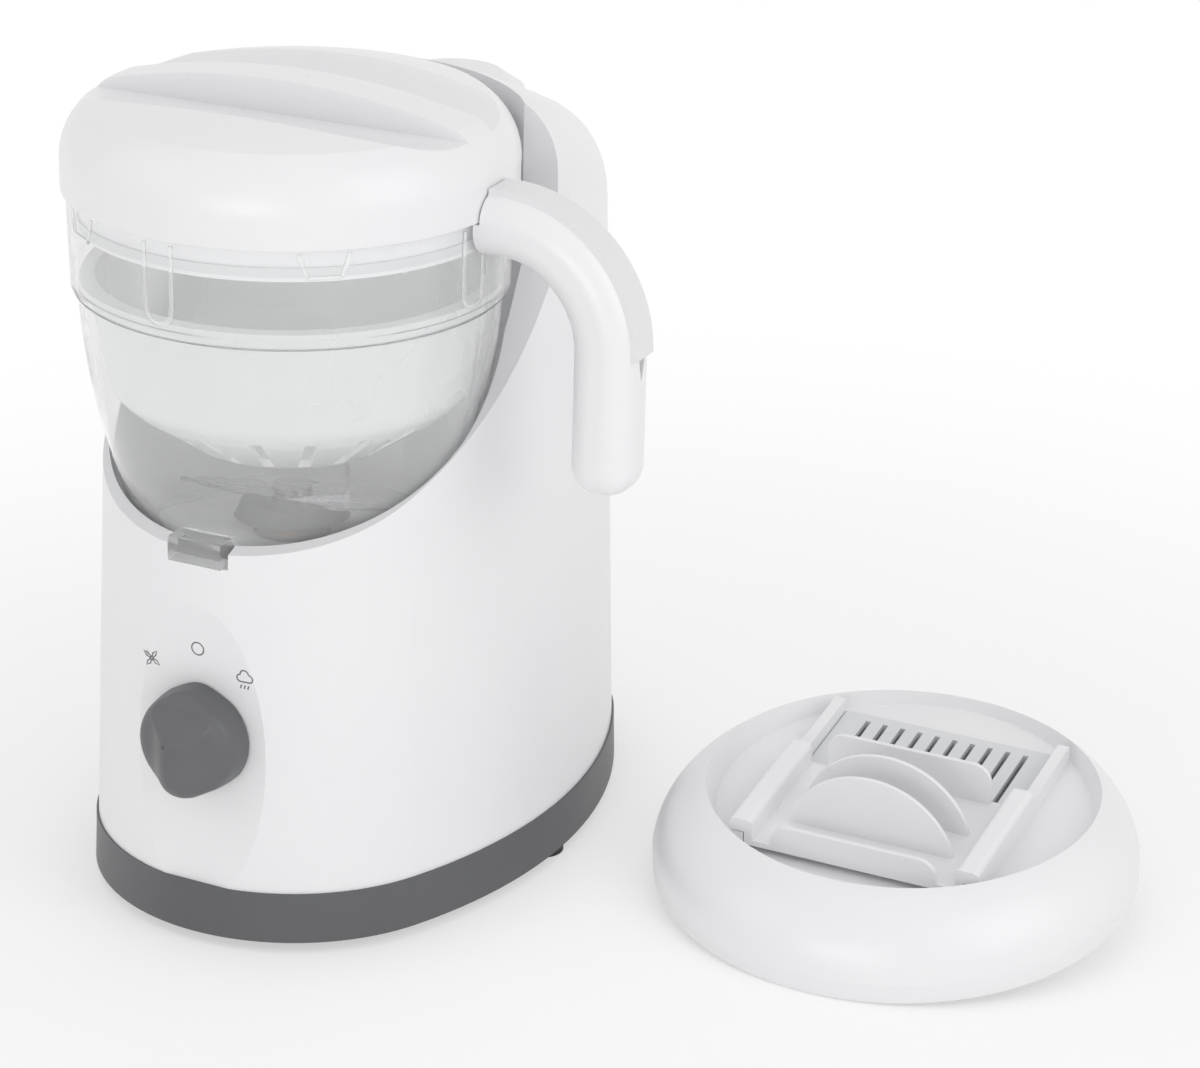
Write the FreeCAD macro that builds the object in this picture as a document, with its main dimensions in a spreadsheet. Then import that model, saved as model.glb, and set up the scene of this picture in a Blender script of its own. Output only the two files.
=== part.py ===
import FreeCAD, Part
import math
import os
import re

import Sketcher

Vector = FreeCAD.Vector
Rotation = FreeCAD.Rotation

# Driving dimensions in millimetres. Heights are above the table, and "reach"
# values are measured behind the jug axis, which stands ahead of the plan centre.
SIZES = {
    # Casing
    "half_width": 81.0, "half_depth": 119.0, "end_radius": 70.0, "draft": 0.035, "casing_wall": 2.6,
    "axis_ahead": 51.0,
    "rim_front_reach": -66.0, "rim_front_height": 141.5, "rim_middle_reach": -2.5,
    "rim_middle_height": 172.0,
    "rim_back_reach": 44.0, "rim_back_height": 213.0, "tower_front_reach": 52.0, "tower_front_height": 240.0,
    "tower_bend_reach": 50.5, "tower_bend_height": 226.0,
    "crown_front_height": 283.0, "crown_middle_reach": 104.0, "crown_middle_height": 264.0,
    "crown_back_reach": 168.0, "crown_back_height": 192.0, "crown_round": 24.0,
    "crown_bow": 210.0, "crown_room": 40.0, "crown_fall": 45.0, "overrun": 10.0, "bore_run": 60.0,
    "panel_round": 322.0, "panel_depth": 4.4, "panel_height": 80.0,
    "seat_height": 124.0, "well_gap": 1.6, "well_top_radius": 79.5, "well_top_height": 222.0,
    # Base
    "foot_height": 4.0, "foot_radius": 8.0, "foot_side": 73.0, "foot_side_ahead": 0.0,
    "foot_end_side": 44.0, "foot_end_along": 82.0,
    "tray_top": 22.0, "tray_floor": 3.0, "tray_proud": 0.8, "tray_wall": 4.0,
    "screw_radius": 1.8, "screw_head_radius": 3.4, "screw_head_height": 2.2,
    "post_radius": 5.0, "screw_side": 30.0, "screw_along": 74.0,
    # Jug
    "jug_wall": 2.4, "jug_foot_radius": 52.0, "jug_foot_height": 124.3, "jug_floor_height": 132.0,
    "bowl_low_radius": 57.0, "bowl_low_height": 143.0, "bowl_middle_radius": 65.0,
    "bowl_middle_height": 172.0,
    "bowl_high_radius": 70.0, "bowl_high_height": 200.0, "seam_radius": 71.2, "seam_height": 216.5,
    "band_radius": 73.6, "band_top_radius": 74.6, "jug_rim_height": 251.0,
    "shoulder_height": 219.0, "ledge_height": 220.0, "bush_radius": 8.0, "bush_low_height": 126.0,
    "boss_radius": 12.0,
    "tab_width": 20.0, "tab_low_height": 137.5, "tab_high_height": 146.0, "tab_reach": 65.0,
    "run_clearance": 0.05,
    # Lid
    "lid_radius": 76.2, "lid_low_height": 251.6, "lid_edge_height": 259.0, "lid_shoulder_radius": 66.0,
    "lid_shoulder_height": 280.0, "lid_top_height": 288.0, "lid_wall": 2.4, "bulge_in": 2.2, "bulge_up": 1.5,
    "grip_half": 8.0, "grip_floor_height": 276.5, "grip_rise_reach": 44.0, "grip_rise_height": 286.0,
    "grip_sag": 3.4,
    "skirt_radius": 70.6, "skirt_wall": 2.0, "skirt_low_height": 240.0, "seal_thick": 1.6,
    # Basket
    "basket_rim_radius": 70.8, "basket_radius": 62.0, "basket_low_radius": 34.0, "basket_wall": 1.8,
    "basket_rim_thick": 2.0, "rest_gap": 0.3, "basket_bend_height": 184.0, "basket_floor_height": 163.0,
    "basket_round": 9.0, "basket_slot_width": 4.2, "basket_slot_count": 20.0,
    "basket_side_gap": 1.5, "basket_bend": 6.0, "slot_margin": 3.0, "slot_sink": 4.0,
    # Blade
    "hub_radius": 20.0, "hub_low_height": 134.0, "hub_height": 7.0, "blade_thick": 1.4, "blade_reach": 42.0,
    "blade_width": 12.0, "blade_rise": 16.0, "blade_stand": 18.0, "blade_turn": 29.0,
    "spindle_top_height": 146.0,
    "hub_slope": 3.0, "nut_wall": 3.0,
    # Drive
    "chassis_height": 26.0, "chassis_thick": 3.0, "motor_radius": 33.0, "motor_length": 70.0,
    "motor_wall": 2.5,
    "rotor_radius": 25.0, "rotor_length": 44.0, "shaft_radius": 4.0, "bearing_radius": 9.0,
    "bearing_height": 5.0,
    "coupling_radius": 12.0, "coupling_low_height": 110.0, "coupling_plate": 4.0, "dog_height": 5.0,
    "dog_width": 5.0, "dog_inner_radius": 7.0, "coupling_gap": 0.6,
    # Handle
    "handle_height": 250.0, "handle_start": 66.0, "handle_bend_start": 80.0, "handle_bend": 38.0,
    "handle_end_height": 164.0, "handle_width": 23.0, "handle_thick": 22.0, "handle_round": 9.5,
    "cover_thick": 4.0, "cover_width": 13.0, "cover_proud": 1.0, "lid_gap": 0.6,
    # Knob
    "knob_radius": 18.0, "knob_depth": 16.0, "knob_height": 75.0, "knob_gap": 0.8, "knob_shaft_radius": 3.0,
    "switch_size": 26.0, "switch_depth": 16.0, "knob_rim": 3.0, "knob_taper": 2.0, "knob_cover": 5.0,
    "knob_grip_width": 9.0, "knob_grip_length": 30.6, "knob_grip_proud": 4.0,
    # Boiler
    "boiler_reach": 116.0, "boiler_radius": 25.0, "boiler_wall": 2.0, "boiler_low_height": 150.0,
    "boiler_top_height": 232.0, "neck_radius": 15.0, "cap_radius": 26.0, "cap_height": 11.0,
    "cap_seat_height": 250.0, "cap_plug_depth": 12.0, "tube_radius": 4.0,
    "tube_height": 225.0, "heater_inner": 13.75, "heater_outer": 21.25, "heater_height": 6.0,
    "thermostat_radius": 10.0, "bracket_thick": 4.0, "bracket_width": 20.0, "bracket_floor": 3.0,
    "plug_gap": 0.8, "cap_slope": 8.0, "cap_seal_gap": 2.2, "cap_seal_inset": 1.0,
    # Electrics
    "board_width": 60.0, "board_thick": 1.6, "board_height": 50.0, "interlock_side": 24.0,
    "interlock_length": 20.0, "interlock_width": 10.0, "interlock_height": 7.0, "inlet_height": 42.0,
    "gland_wall": 1.0, "gland_flange": 3.0, "gland_flange_thick": 2.0, "gland_run": 4.0,
    # Grater
    "grater_side": 195.0, "grater_back": 31.0, "grater_tilt": 8.0, "grater_radius": 84.0,
    "grater_edge": 4.0, "grater_waist": 11.0, "grater_shoulder_radius": 74.5, "grater_shoulder": 27.5,
    "grater_top_radius": 50.0, "grater_top": 34.0, "grater_wall": 2.4, "grater_stand": 0.3,
    "dish_radius": 69.0, "dish_low_radius": 65.0, "dish_floor": 22.0, "dish_back": 9.0,
    "ring_radius": 74.0, "ring_wall": 2.0,
    "rail_half_gap": 40.0, "rail_width": 4.0, "rail_height": 7.0, "rail_length": 94.0, "rail_front": -39.0,
    "plate_thick": 2.0, "plate_length": 44.0, "slit_count": 10.0, "slit_width": 2.0, "slit_pitch": 6.6,
    "slit_length": 36.0, "slit_margin": 4.0,
    "holder_length": 54.0, "holder_floor": 2.0, "first_fin": 16.2, "second_fin": 31.3,
    "fin_thick": 1.6, "fin_radius": 24.0, "fin_half": 30.0,
    "front_wall_height": 8.25, "back_wall_height": 14.85, "wall_round": 6.6, "runner_height": 5.0,
    "runner_web": 3.0, "runner_lip": 1.0, "runner_round": 2.25, "slide_clearance": 0.4,
}

doc = FreeCAD.newDocument("baby_food_maker")
sheet = doc.addObject("Spreadsheet::Sheet", "dims")
for row, (name, value) in enumerate(SIZES.items(), 1):
    sheet.set(f"A{row}", name)
    sheet.set(f"B{row}", str(value))
    sheet.setAlias(f"B{row}", name)
doc.recompute()

pieces = []


def size(expression):
    return float(sheet.evalExpression(expression))


def bound(expression):
    return re.sub(r"[a-z][a-z_]+", lambda word: "dims." + word.group(0), expression)


def keep(piece, label):
    piece.Label = label
    pieces.append(piece)
    return piece


def at(x_text="0", y_text="0", z_text="0", rotation=None):
    place = FreeCAD.Placement()
    place.Base = Vector(size(x_text), size(y_text), size(z_text))
    if rotation:
        place.Rotation = rotation
    return place


def on_axis(z_text="0"):
    return at("0", "0 - axis_ahead", z_text)


def origin_plane(body, role):
    return [plane for plane in body.Origin.OriginFeatures if plane.Role == role][0]


def outline(body, role, points):
    sketch = body.newObject("Sketcher::SketchObject", "Outline")
    sketch.AttachmentSupport = [(origin_plane(body, role), "")]
    sketch.MapMode = "FlatFace"
    places = [(size(across), size(up)) for across, up in points]
    count = len(points)
    for index in range(count):
        start = Vector(*places[index], 0)
        end = Vector(*places[(index + 1) % count], 0)
        sketch.addGeometry(Part.LineSegment(start, end))
    for index in range(count):
        sketch.addConstraint(Sketcher.Constraint("Coincident", index, 2, (index + 1) % count, 1))
    for index in range(count):
        for axis, kind in enumerate(("DistanceX", "DistanceY")):
            rule = Sketcher.Constraint(kind, -1, 1, index, 1, places[index][axis])
            number = sketch.addConstraint(rule)
            sketch.setExpression(f"Constraints[{number}]", bound(points[index][axis]))
    return sketch


def lathe(label, points, place):
    body = doc.addObject("PartDesign::Body", label)
    sketch = outline(body, "XZ_Plane", points)
    turn = body.newObject("PartDesign::Revolution", "Turn")
    turn.Profile = sketch
    turn.ReferenceAxis = (sketch, ["V_Axis"])
    turn.Angle = 360
    body.Placement = place
    doc.recompute()
    return body


def turned(label, points, place):
    return keep(lathe(label, points, place), label)


def padded(label, role, points, length, place, midplane=False):
    body = doc.addObject("PartDesign::Body", label)
    sketch = outline(body, role, points)
    pad = body.newObject("PartDesign::Pad", "Pad")
    pad.Profile = sketch
    pad.setExpression("Length", bound(length))
    pad.Midplane = midplane
    body.Placement = place
    doc.recompute()
    return keep(body, label)


def round_edges(body, radius, picked):
    base = body.Tip
    names = [f"Edge{number}" for number, edge in enumerate(base.Shape.Edges, 1) if picked(edge)]
    fillet = body.newObject("PartDesign::Fillet", "Round")
    fillet.Base = (base, names)
    fillet.setExpression("Radius", bound(radius))
    body.Tip = fillet
    doc.recompute()
    return body


def rod(radius, length, place, kind="Part::Cylinder"):
    item = doc.addObject(kind, "Rod")
    item.setExpression("Radius", bound(radius))
    item.setExpression("Height", bound(length))
    item.Placement = place
    return item


def block(length, width, height, place):
    item = doc.addObject("Part::Box", "Block")
    item.setExpression("Length", bound(length))
    item.setExpression("Width", bound(width))
    item.setExpression("Height", bound(height))
    item.Placement = place
    return item


def fused(*items):
    union = doc.addObject("Part::MultiFuse", "Union")
    union.Shapes = list(items)
    doc.recompute()
    return union


def less(base, *tools):
    cut = doc.addObject("Part::Cut", "Cut")
    cut.Base = base
    cut.Tool = tools[0] if len(tools) == 1 else fused(*tools)
    doc.recompute()
    return cut


def group(*items):
    compound = doc.addObject("Part::Compound", "Group")
    compound.Links = list(items)
    doc.recompute()
    return compound


def shaped(label, shape, place=None):
    piece = doc.addObject("Part::Feature", label)
    piece.Shape = shape
    if place:
        piece.Placement = place
    return keep(piece, label)


# The plan is an oval of four tangent arcs that shrinks with height by the draft.
def oval(offset, height):
    shrink = offset + size("draft") * (height - size("tray_top"))
    half_width = size("half_width") - shrink
    half_depth = size("half_depth") - shrink
    end_radius = size("end_radius") - shrink
    end_centre = half_depth - end_radius
    side_radius = (end_centre ** 2 + half_width ** 2 - end_radius ** 2) / (2 * (half_width - end_radius))
    side_centre = side_radius - half_width
    angle = math.atan2(end_centre, side_centre)
    join_x = side_radius * math.cos(angle) - side_centre
    join_y = side_radius * math.sin(angle)
    corners = [Vector(join_x, -join_y, height), Vector(join_x, join_y, height),
               Vector(-join_x, join_y, height), Vector(-join_x, -join_y, height)]
    middles = [Vector(half_width, 0, height), Vector(0, half_depth, height),
               Vector(-half_width, 0, height), Vector(0, -half_depth, height)]
    edges = []
    for index in range(4):
        edges.append(Part.Arc(corners[index], middles[index], corners[(index + 1) % 4]).toShape())
    return Part.Wire(edges)


def drafted(offset, low, high):
    return Part.makeLoft([oval(offset, low), oval(offset, high)], True, True)


# What stays of the drafted oval, seen from the side: below the rim curve and
# behind the front of the tower.
def side_profile(inset):
    ahead = size("axis_ahead")

    def spot(reach, height):
        return Vector(0, size(reach) - ahead, size(height))
    drop = Vector(0, 0, -inset)
    back = Vector(0, inset, 0)
    front = spot("rim_front_reach", "rim_front_height") + drop
    rim_middle = spot("rim_middle_reach", "rim_middle_height") + (drop + back) * 0.75
    rim_back = spot("rim_back_reach", "rim_back_height") + (drop + back) * 0.75
    bend = spot("tower_bend_reach", "tower_bend_height") + back
    tower = spot("tower_front_reach", "tower_front_height") + back
    above = tower + Vector(0, 0, size("crown_front_height + crown_room - tower_front_height"))
    far = Vector(0, size("half_depth * 2"), 0)
    far_above = Vector(0, far.y, above.z)
    below = size("overrun")
    low = Vector(0, far.y, -below)
    front_low = Vector(0, -far.y, -below)
    front_high = Vector(0, -far.y, front.z - below)
    edges = [
        Part.makeLine(front_high, front),
        Part.Arc(front, rim_middle, rim_back).toShape(),
        Part.Arc(rim_back, bend, tower).toShape(),
        Part.makeLine(tower, above),
        Part.makeLine(above, far_above),
        Part.makeLine(far_above, low),
        Part.makeLine(low, front_low),
        Part.makeLine(front_low, front_high),
    ]
    face = Part.Face(Part.Wire(edges))
    wide = size("half_width * 2")
    face.translate(Vector(-wide, 0, 0))
    return face.extrude(Vector(2 * wide, 0, 0))


# What the crown takes off the tower: all above an arc that falls to the rear,
# bowed across the tower as well by turning that arc about a low axis.
def above_crown(inset):
    ahead = size("axis_ahead")
    drop = Vector(0, 0, -inset)
    front = Vector(0, size("tower_front_reach") - ahead, size("crown_front_height")) + drop
    middle = Vector(0, size("crown_middle_reach") - ahead, size("crown_middle_height")) + drop
    back = Vector(0, size("crown_back_reach") - ahead, size("crown_back_height")) + drop
    room = size("crown_room")
    slope = (front - middle).normalize()
    ahead_of_front = front + slope * room
    past_back = back + Vector(0, room, -room * 2)
    top = size("crown_front_height") + 2 * room
    edges = [
        Part.makeLine(ahead_of_front, front),
        Part.Arc(front, middle, back).toShape(),
        Part.makeLine(back, past_back),
        Part.makeLine(past_back, Vector(0, past_back.y, top)),
        Part.makeLine(Vector(0, past_back.y, top), Vector(0, ahead_of_front.y, top)),
        Part.makeLine(Vector(0, ahead_of_front.y, top), ahead_of_front),
    ]
    face = Part.Face(Part.Wire(edges))
    axis = Vector(0, 0, size("crown_front_height - crown_bow"))
    half_turn = math.degrees(math.atan2(size("half_width"), size("crown_bow") / 2))
    face.rotate(axis, Vector(0, 1, 0), -half_turn)
    return face.revolve(axis, Vector(0, 1, 0), 2 * half_turn)


def well(grow):
    gap = size("well_gap") + grow
    heights = [
        (0, size("seat_height") - grow),
        (size("jug_foot_radius") + gap, size("seat_height") - grow),
        (size("bowl_low_radius") + gap, size("bowl_low_height")),
        (size("bowl_middle_radius") + gap, size("bowl_middle_height")),
        (size("bowl_high_radius") + gap, size("bowl_high_height")),
        (size("well_top_radius") + grow, size("well_top_height")),
        (size("well_top_radius") + grow, size("crown_front_height + crown_room")),
        (0, size("crown_front_height + crown_room")),
    ]
    points = [Vector(radius, 0, height) for radius, height in heights]
    face = Part.Face(Part.makePolygon(points + points[:1]))
    solid = face.revolve(Vector(0, 0, 0), Vector(0, 0, 1), 360)
    solid.translate(Vector(0, -size("axis_ahead"), 0))
    return solid


def panel_scoop(grow):
    radius = size("panel_round") + grow
    front = -size("half_depth") + size("draft") * (size("panel_height") - size("tray_top"))
    centre = front + size("panel_depth") - size("panel_round")
    wide = size("half_width")
    return Part.makeCylinder(radius, 2 * wide, Vector(-wide, centre, size("panel_height")), Vector(1, 0, 0))


# The drafted oval under its crown, with the crown's edge rounded.
def crowned(inset, low):
    high = size("crown_front_height + crown_room / 2")
    body = drafted(inset, low, high).common(side_profile(inset)).cut(above_crown(inset))
    tower = size("tower_front_reach - axis_ahead") + inset
    edges = []
    for edge in body.Edges:
        box = edge.BoundBox
        on_crown = box.ZMin > size("crown_back_height - crown_fall") - inset and box.YMin > tower - 0.01
        if on_crown and box.YLength > 1:
            edges.append(edge)
    return body.makeFillet(size("crown_round") - inset, edges)


def casing():
    low = size("tray_top")
    wall = size("casing_wall")
    outside = crowned(0, low)
    inside = crowned(wall, low - wall)
    cavity = inside.cut(well(wall)).cut(panel_scoop(wall))
    shell = outside.cut(panel_scoop(0)).cut(well(0)).cut(cavity)
    past = size("overrun")
    run = size("bore_run")
    behind = Vector(0, 1, 0)
    boiler = Vector(0, size("boiler_reach - axis_ahead"), 0)
    seat_low = size("cap_seat_height")
    collar_low = size("crown_back_height")
    sleeve_length = seat_low - 2 * wall - collar_low
    seat_radius = size("cap_radius + knob_gap")
    seat = Part.makeCylinder(seat_radius, run, boiler + Vector(0, 0, seat_low))
    sleeve_radius = size("boiler_radius + well_gap")
    sleeve = Part.makeCylinder(sleeve_radius, sleeve_length, boiler + Vector(0, 0, collar_low))
    collar = Part.makeCylinder(seat_radius + wall, run * 2, boiler + Vector(0, 0, collar_low))
    collar = collar.common(outside).cut(sleeve).cut(well(0))
    neck_radius = size("neck_radius + well_gap")
    mouth = Part.makeCylinder(neck_radius, run, boiler + Vector(0, 0, size("boiler_top_height")))
    drive_low = Vector(0, -size("axis_ahead"), size("seat_height - casing_wall") - past)
    drive = Part.makeCylinder(size("coupling_radius + well_gap"), run, drive_low)
    knob_start = Vector(0, -size("half_depth") - past, size("knob_height"))
    knob = Part.makeCylinder(size("knob_shaft_radius + run_clearance"), run, knob_start, behind)
    steam_start = Vector(0, size("well_top_radius - axis_ahead") - past, size("tube_height"))
    steam = Part.makeCylinder(size("tube_radius + run_clearance"), run / 2, steam_start, behind)
    inlet_start = Vector(0, size("half_depth") - 2 * past, size("inlet_height"))
    inlet = Part.makeCylinder(size("tube_radius + well_gap"), run, inlet_start, behind)
    half_notch = size("tab_width / 2 + well_gap")
    notch_low = size("tab_low_height - rest_gap")
    notch_front = -size("axis_ahead + tab_reach") - past
    notch = Part.makeBox(2 * half_notch, run, run, Vector(-half_notch, notch_front, notch_low))
    half_lining = half_notch + wall
    lining_low = Vector(-half_lining, notch_front, notch_low - wall)
    lining = Part.makeBox(2 * half_lining, run, run, lining_low)
    lining = lining.common(outside).cut(well(0))
    shell = shell.cut(sleeve).fuse(collar).fuse(lining)
    for opening in (notch, seat, mouth, drive, knob, steam, inlet):
        shell = shell.cut(opening)
    return shell.removeSplitter()


shaped("main_housing", casing())


# Base: a tray under the casing on six feet, held by screws up into the chassis.
def base_tray():
    low = size("foot_height")
    top = size("tray_top")
    tray = drafted(-size("tray_proud"), low, top)
    tray = tray.cut(drafted(size("tray_wall"), low + size("tray_floor"), top + low))
    for side, along in screw_spots():
        post = Part.makeCylinder(size("post_radius"), size("chassis_height") - low, Vector(side, along, low))
        hole_radius = size("screw_radius + run_clearance")
        hole = Part.makeCylinder(hole_radius, size("tray_top * 2"), Vector(side, along, 0))
        sink_radius = size("screw_head_radius + rest_gap")
        sink = Part.makeCylinder(sink_radius, size("screw_head_height"), Vector(side, along, low))
        tray = tray.fuse(post).cut(hole).cut(sink)
    return tray.removeSplitter()


def screw_spots():
    side = size("screw_side")
    along = size("screw_along")
    return [(side, along), (-side, along), (side, -along), (-side, -along)]


shaped("base_tray", base_tray())

foot_places = []
for side in (-1, 1):
    foot_places.append((side * size("foot_side"), -size("foot_side_ahead")))
    for end in (-1, 1):
        foot_places.append((side * size("foot_end_side"), end * size("foot_end_along")))
feet = []
for x_place, y_place in foot_places:
    spot = FreeCAD.Placement(Vector(x_place, y_place, 0), Rotation())
    feet.append(rod("foot_radius", "foot_height", spot))
keep(group(*feet), "rubber_feet")

screws = []
for x_place, y_place in screw_spots():
    low = size("foot_height")
    spot = FreeCAD.Placement(Vector(x_place, y_place, low), Rotation())
    head = rod("screw_head_radius", "screw_head_height", spot)
    shank = rod("screw_radius", "chassis_height + chassis_thick - foot_height", spot)
    screws.append(fused(head, shank))
keep(group(*screws), "base_screws")


def chassis():
    low = size("chassis_height")
    plate = drafted(size("casing_wall + rest_gap"), low, low + size("chassis_thick"))
    plate = plate.cut(panel_scoop(size("casing_wall + rest_gap")))
    for side, along in screw_spots():
        hole = Part.makeCylinder(size("screw_radius"), size("bore_run"), Vector(side, along, 0))
        plate = plate.cut(hole)
    return plate


shaped("chassis_plate", chassis())

# Motor, standing on the chassis under the jug.
can_low = "chassis_height + chassis_thick"
can_top = "chassis_height + chassis_thick + motor_length"
turned("motor_can", [
    ("bearing_radius", can_low), ("motor_radius", can_low), ("motor_radius", can_top),
    ("motor_radius - motor_wall", can_top), ("motor_radius - motor_wall", can_low + " + bearing_height"),
    ("bearing_radius", can_low + " + bearing_height")], on_axis())
turned("motor_end_cap", [
    ("bearing_radius", can_top), ("motor_radius", can_top), ("motor_radius", can_top + " + bearing_height"),
    ("bearing_radius", can_top + " + bearing_height")], on_axis())
for label, low_text in (("lower_bearing", can_low), ("upper_bearing", can_top)):
    turned(label, [
        ("shaft_radius + run_clearance", low_text), ("bearing_radius", low_text),
        ("bearing_radius", low_text + " + bearing_height"),
        ("shaft_radius + run_clearance", low_text + " + bearing_height")], on_axis())
middle = "chassis_height + chassis_thick + motor_length / 2"
turned("motor_rotor", [
    ("0", can_low), ("shaft_radius", can_low), ("shaft_radius", middle + " - rotor_length / 2"),
    ("rotor_radius", middle + " - rotor_length / 2"), ("rotor_radius", middle + " + rotor_length / 2"),
    ("shaft_radius", middle + " + rotor_length / 2"),
    ("shaft_radius", "coupling_low_height + coupling_plate"),
    ("0", "coupling_low_height + coupling_plate")], on_axis())
stator_inner = "rotor_radius + rest_gap"
turned("motor_stator", [
    (stator_inner, middle + " - rotor_length / 2"),
    ("motor_radius - motor_wall", middle + " - rotor_length / 2"),
    ("motor_radius - motor_wall", middle + " + rotor_length / 2"),
    (stator_inner, middle + " + rotor_length / 2")],
    on_axis())


# Dog clutch: each half is a plate with four dogs that stand between the other's.
def coupling(label, low_text, dog_low_text, turn):
    plate = rod("coupling_radius", "coupling_plate", on_axis(low_text))
    bore = rod("shaft_radius", "coupling_plate + dog_height * 4", on_axis(low_text + " - dog_height * 2"))
    dogs = []
    for quarter in range(4):
        place = on_axis(dog_low_text)
        place.Rotation = Rotation(Vector(0, 0, 1), turn + quarter * 90)
        spread = Vector(size("dog_inner_radius"), -size("dog_width / 2"), 0)
        place.Base = place.Base + place.Rotation.multVec(spread)
        dogs.append(block("coupling_radius - dog_inner_radius - rest_gap", "dog_width", "dog_height", place))
    keep(less(fused(plate, *dogs), bore), label)


upper_low = "coupling_low_height + coupling_plate + dog_height + coupling_gap"
coupling("lower_coupling", "coupling_low_height", "coupling_low_height + coupling_plate", 0)
coupling("upper_coupling", upper_low, upper_low + " - dog_height", 45)

# Jug: a clear bowl with a stepped band, a flat ledge inside and a boss for the bush.
def jug_shell():
    wall = size("jug_wall")
    rings = [("jug_foot_radius", "jug_foot_height"), ("bowl_low_radius", "bowl_low_height"),
             ("bowl_middle_radius", "bowl_middle_height"), ("bowl_high_radius", "bowl_high_height"),
             ("seam_radius", "seam_height")]
    outer = [Vector(size(radius), 0, size(height)) for radius, height in rings]
    floor = size("jug_floor_height")
    ledge = size("ledge_height")
    inner = [Vector(spot.x - wall, 0, spot.z) for spot in outer]
    inner[0] = Vector(outer[0].x - 2 * wall, 0, floor)
    inner[-1] = Vector(outer[-1].x - wall, 0, ledge)
    foot_inside = outer[0].x - wall
    low_side = [(size("bush_radius"), floor), (size("bush_radius"), size("bush_low_height")),
                (size("boss_radius"), size("bush_low_height")), (size("boss_radius"), floor - wall),
                (foot_inside, floor - wall), (foot_inside, outer[0].z), (outer[0].x, outer[0].z)]
    band_side = [(outer[-1].x, outer[-1].z), (size("band_radius"), size("shoulder_height")),
                 (size("band_top_radius"), size("jug_rim_height")),
                 (size("band_top_radius") - wall, size("jug_rim_height")),
                 (size("band_radius") - wall, ledge),
                 (inner[-1].x, ledge)]
    last = [(inner[0].x, floor), (size("bush_radius"), floor)]
    edges = []
    for run in (low_side, band_side, last):
        spots = [Vector(radius, 0, height) for radius, height in run]
        edges += [Part.makeLine(start, end) for start, end in zip(spots, spots[1:])]
    for spots in (outer, inner):
        curve = Part.BSplineCurve()
        curve.interpolate(spots)
        edges.append(curve.toShape())
    face = Part.Face(Part.Wire(Part.__sortEdges__(edges)))
    return face.revolve(Vector(0, 0, 0), Vector(0, 0, 1), 360)


jug = doc.addObject("Part::Feature", "JugShell")
jug.Shape = jug_shell()
jug.Placement = on_axis()
tab = block("tab_width", "tab_reach - bowl_low_radius + jug_wall", "tab_high_height - tab_low_height",
            at("0 - tab_width / 2", "0 - axis_ahead - tab_reach", "tab_low_height"))
keep(fused(jug, tab), "jug")
turned("jug_bush", [
    ("shaft_radius + run_clearance", "bush_low_height"), ("bush_radius", "bush_low_height"),
    ("bush_radius", "jug_floor_height"), ("shaft_radius + run_clearance", "jug_floor_height")], on_axis())
turned("shaft_seal", [
    ("shaft_radius + rest_gap", "jug_floor_height"), ("boss_radius", "jug_floor_height"),
    ("boss_radius", "jug_floor_height + seal_thick"),
    ("shaft_radius + rest_gap", "jug_floor_height + seal_thick")],
    on_axis())
spindle_length = "spindle_top_height - coupling_low_height - coupling_plate - dog_height - coupling_gap"
keep(rod("shaft_radius", spindle_length, on_axis(upper_low)), "blade_spindle")
turned("blade_hub", [
    ("shaft_radius", "hub_low_height"), ("hub_radius", "hub_low_height"),
    ("hub_radius - hub_slope", "hub_low_height + hub_height"),
    ("shaft_radius", "hub_low_height + hub_height")], on_axis())
blade_low = "hub_low_height + hub_height"
blank = padded("blade_blank", "XY_Plane", [
    ("0 - blade_reach", "0 - blade_width / 4"), ("0 - hub_radius", "0 - blade_width / 2"),
    ("hub_radius", "0 - blade_width / 2"), ("blade_reach", "blade_width / 4"),
    ("hub_radius", "blade_width / 2"),
    ("0 - hub_radius", "blade_width / 2")], "blade_thick", on_axis(blade_low))
pieces.pop()
keep(less(blank, rod("shaft_radius", "blade_thick", on_axis(blade_low))), "flat_blade")
foot_low = "hub_low_height + hub_height + blade_thick"
strip = block("blade_stand + blade_thick", "blade_width", "blade_thick", on_axis(foot_low))
turn = Rotation(Vector(0, 0, 1), size("blade_turn"))
strip.Placement.Rotation = turn
strip.Placement.Base = strip.Placement.Base + turn.multVec(Vector(0, -size("blade_width / 2"), 0))
blade_up = block("blade_thick", "blade_width", "blade_rise", on_axis(foot_low))
blade_up.Placement.Rotation = turn
stand = turn.multVec(Vector(size("blade_stand"), -size("blade_width / 2"), 0))
blade_up.Placement.Base = blade_up.Placement.Base + stand
collar = rod("blade_width / 2", "blade_thick", on_axis(foot_low))
blade_bore = rod("shaft_radius", "blade_thick", on_axis(foot_low))
keep(less(fused(strip, blade_up, collar), blade_bore), "upright_blade")
turned("spindle_nut", [
    ("shaft_radius", foot_low + " + blade_thick"), ("shaft_radius + nut_wall", foot_low + " + blade_thick"),
    ("shaft_radius + nut_wall", "spindle_top_height"), ("shaft_radius", "spindle_top_height")], on_axis())

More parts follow.
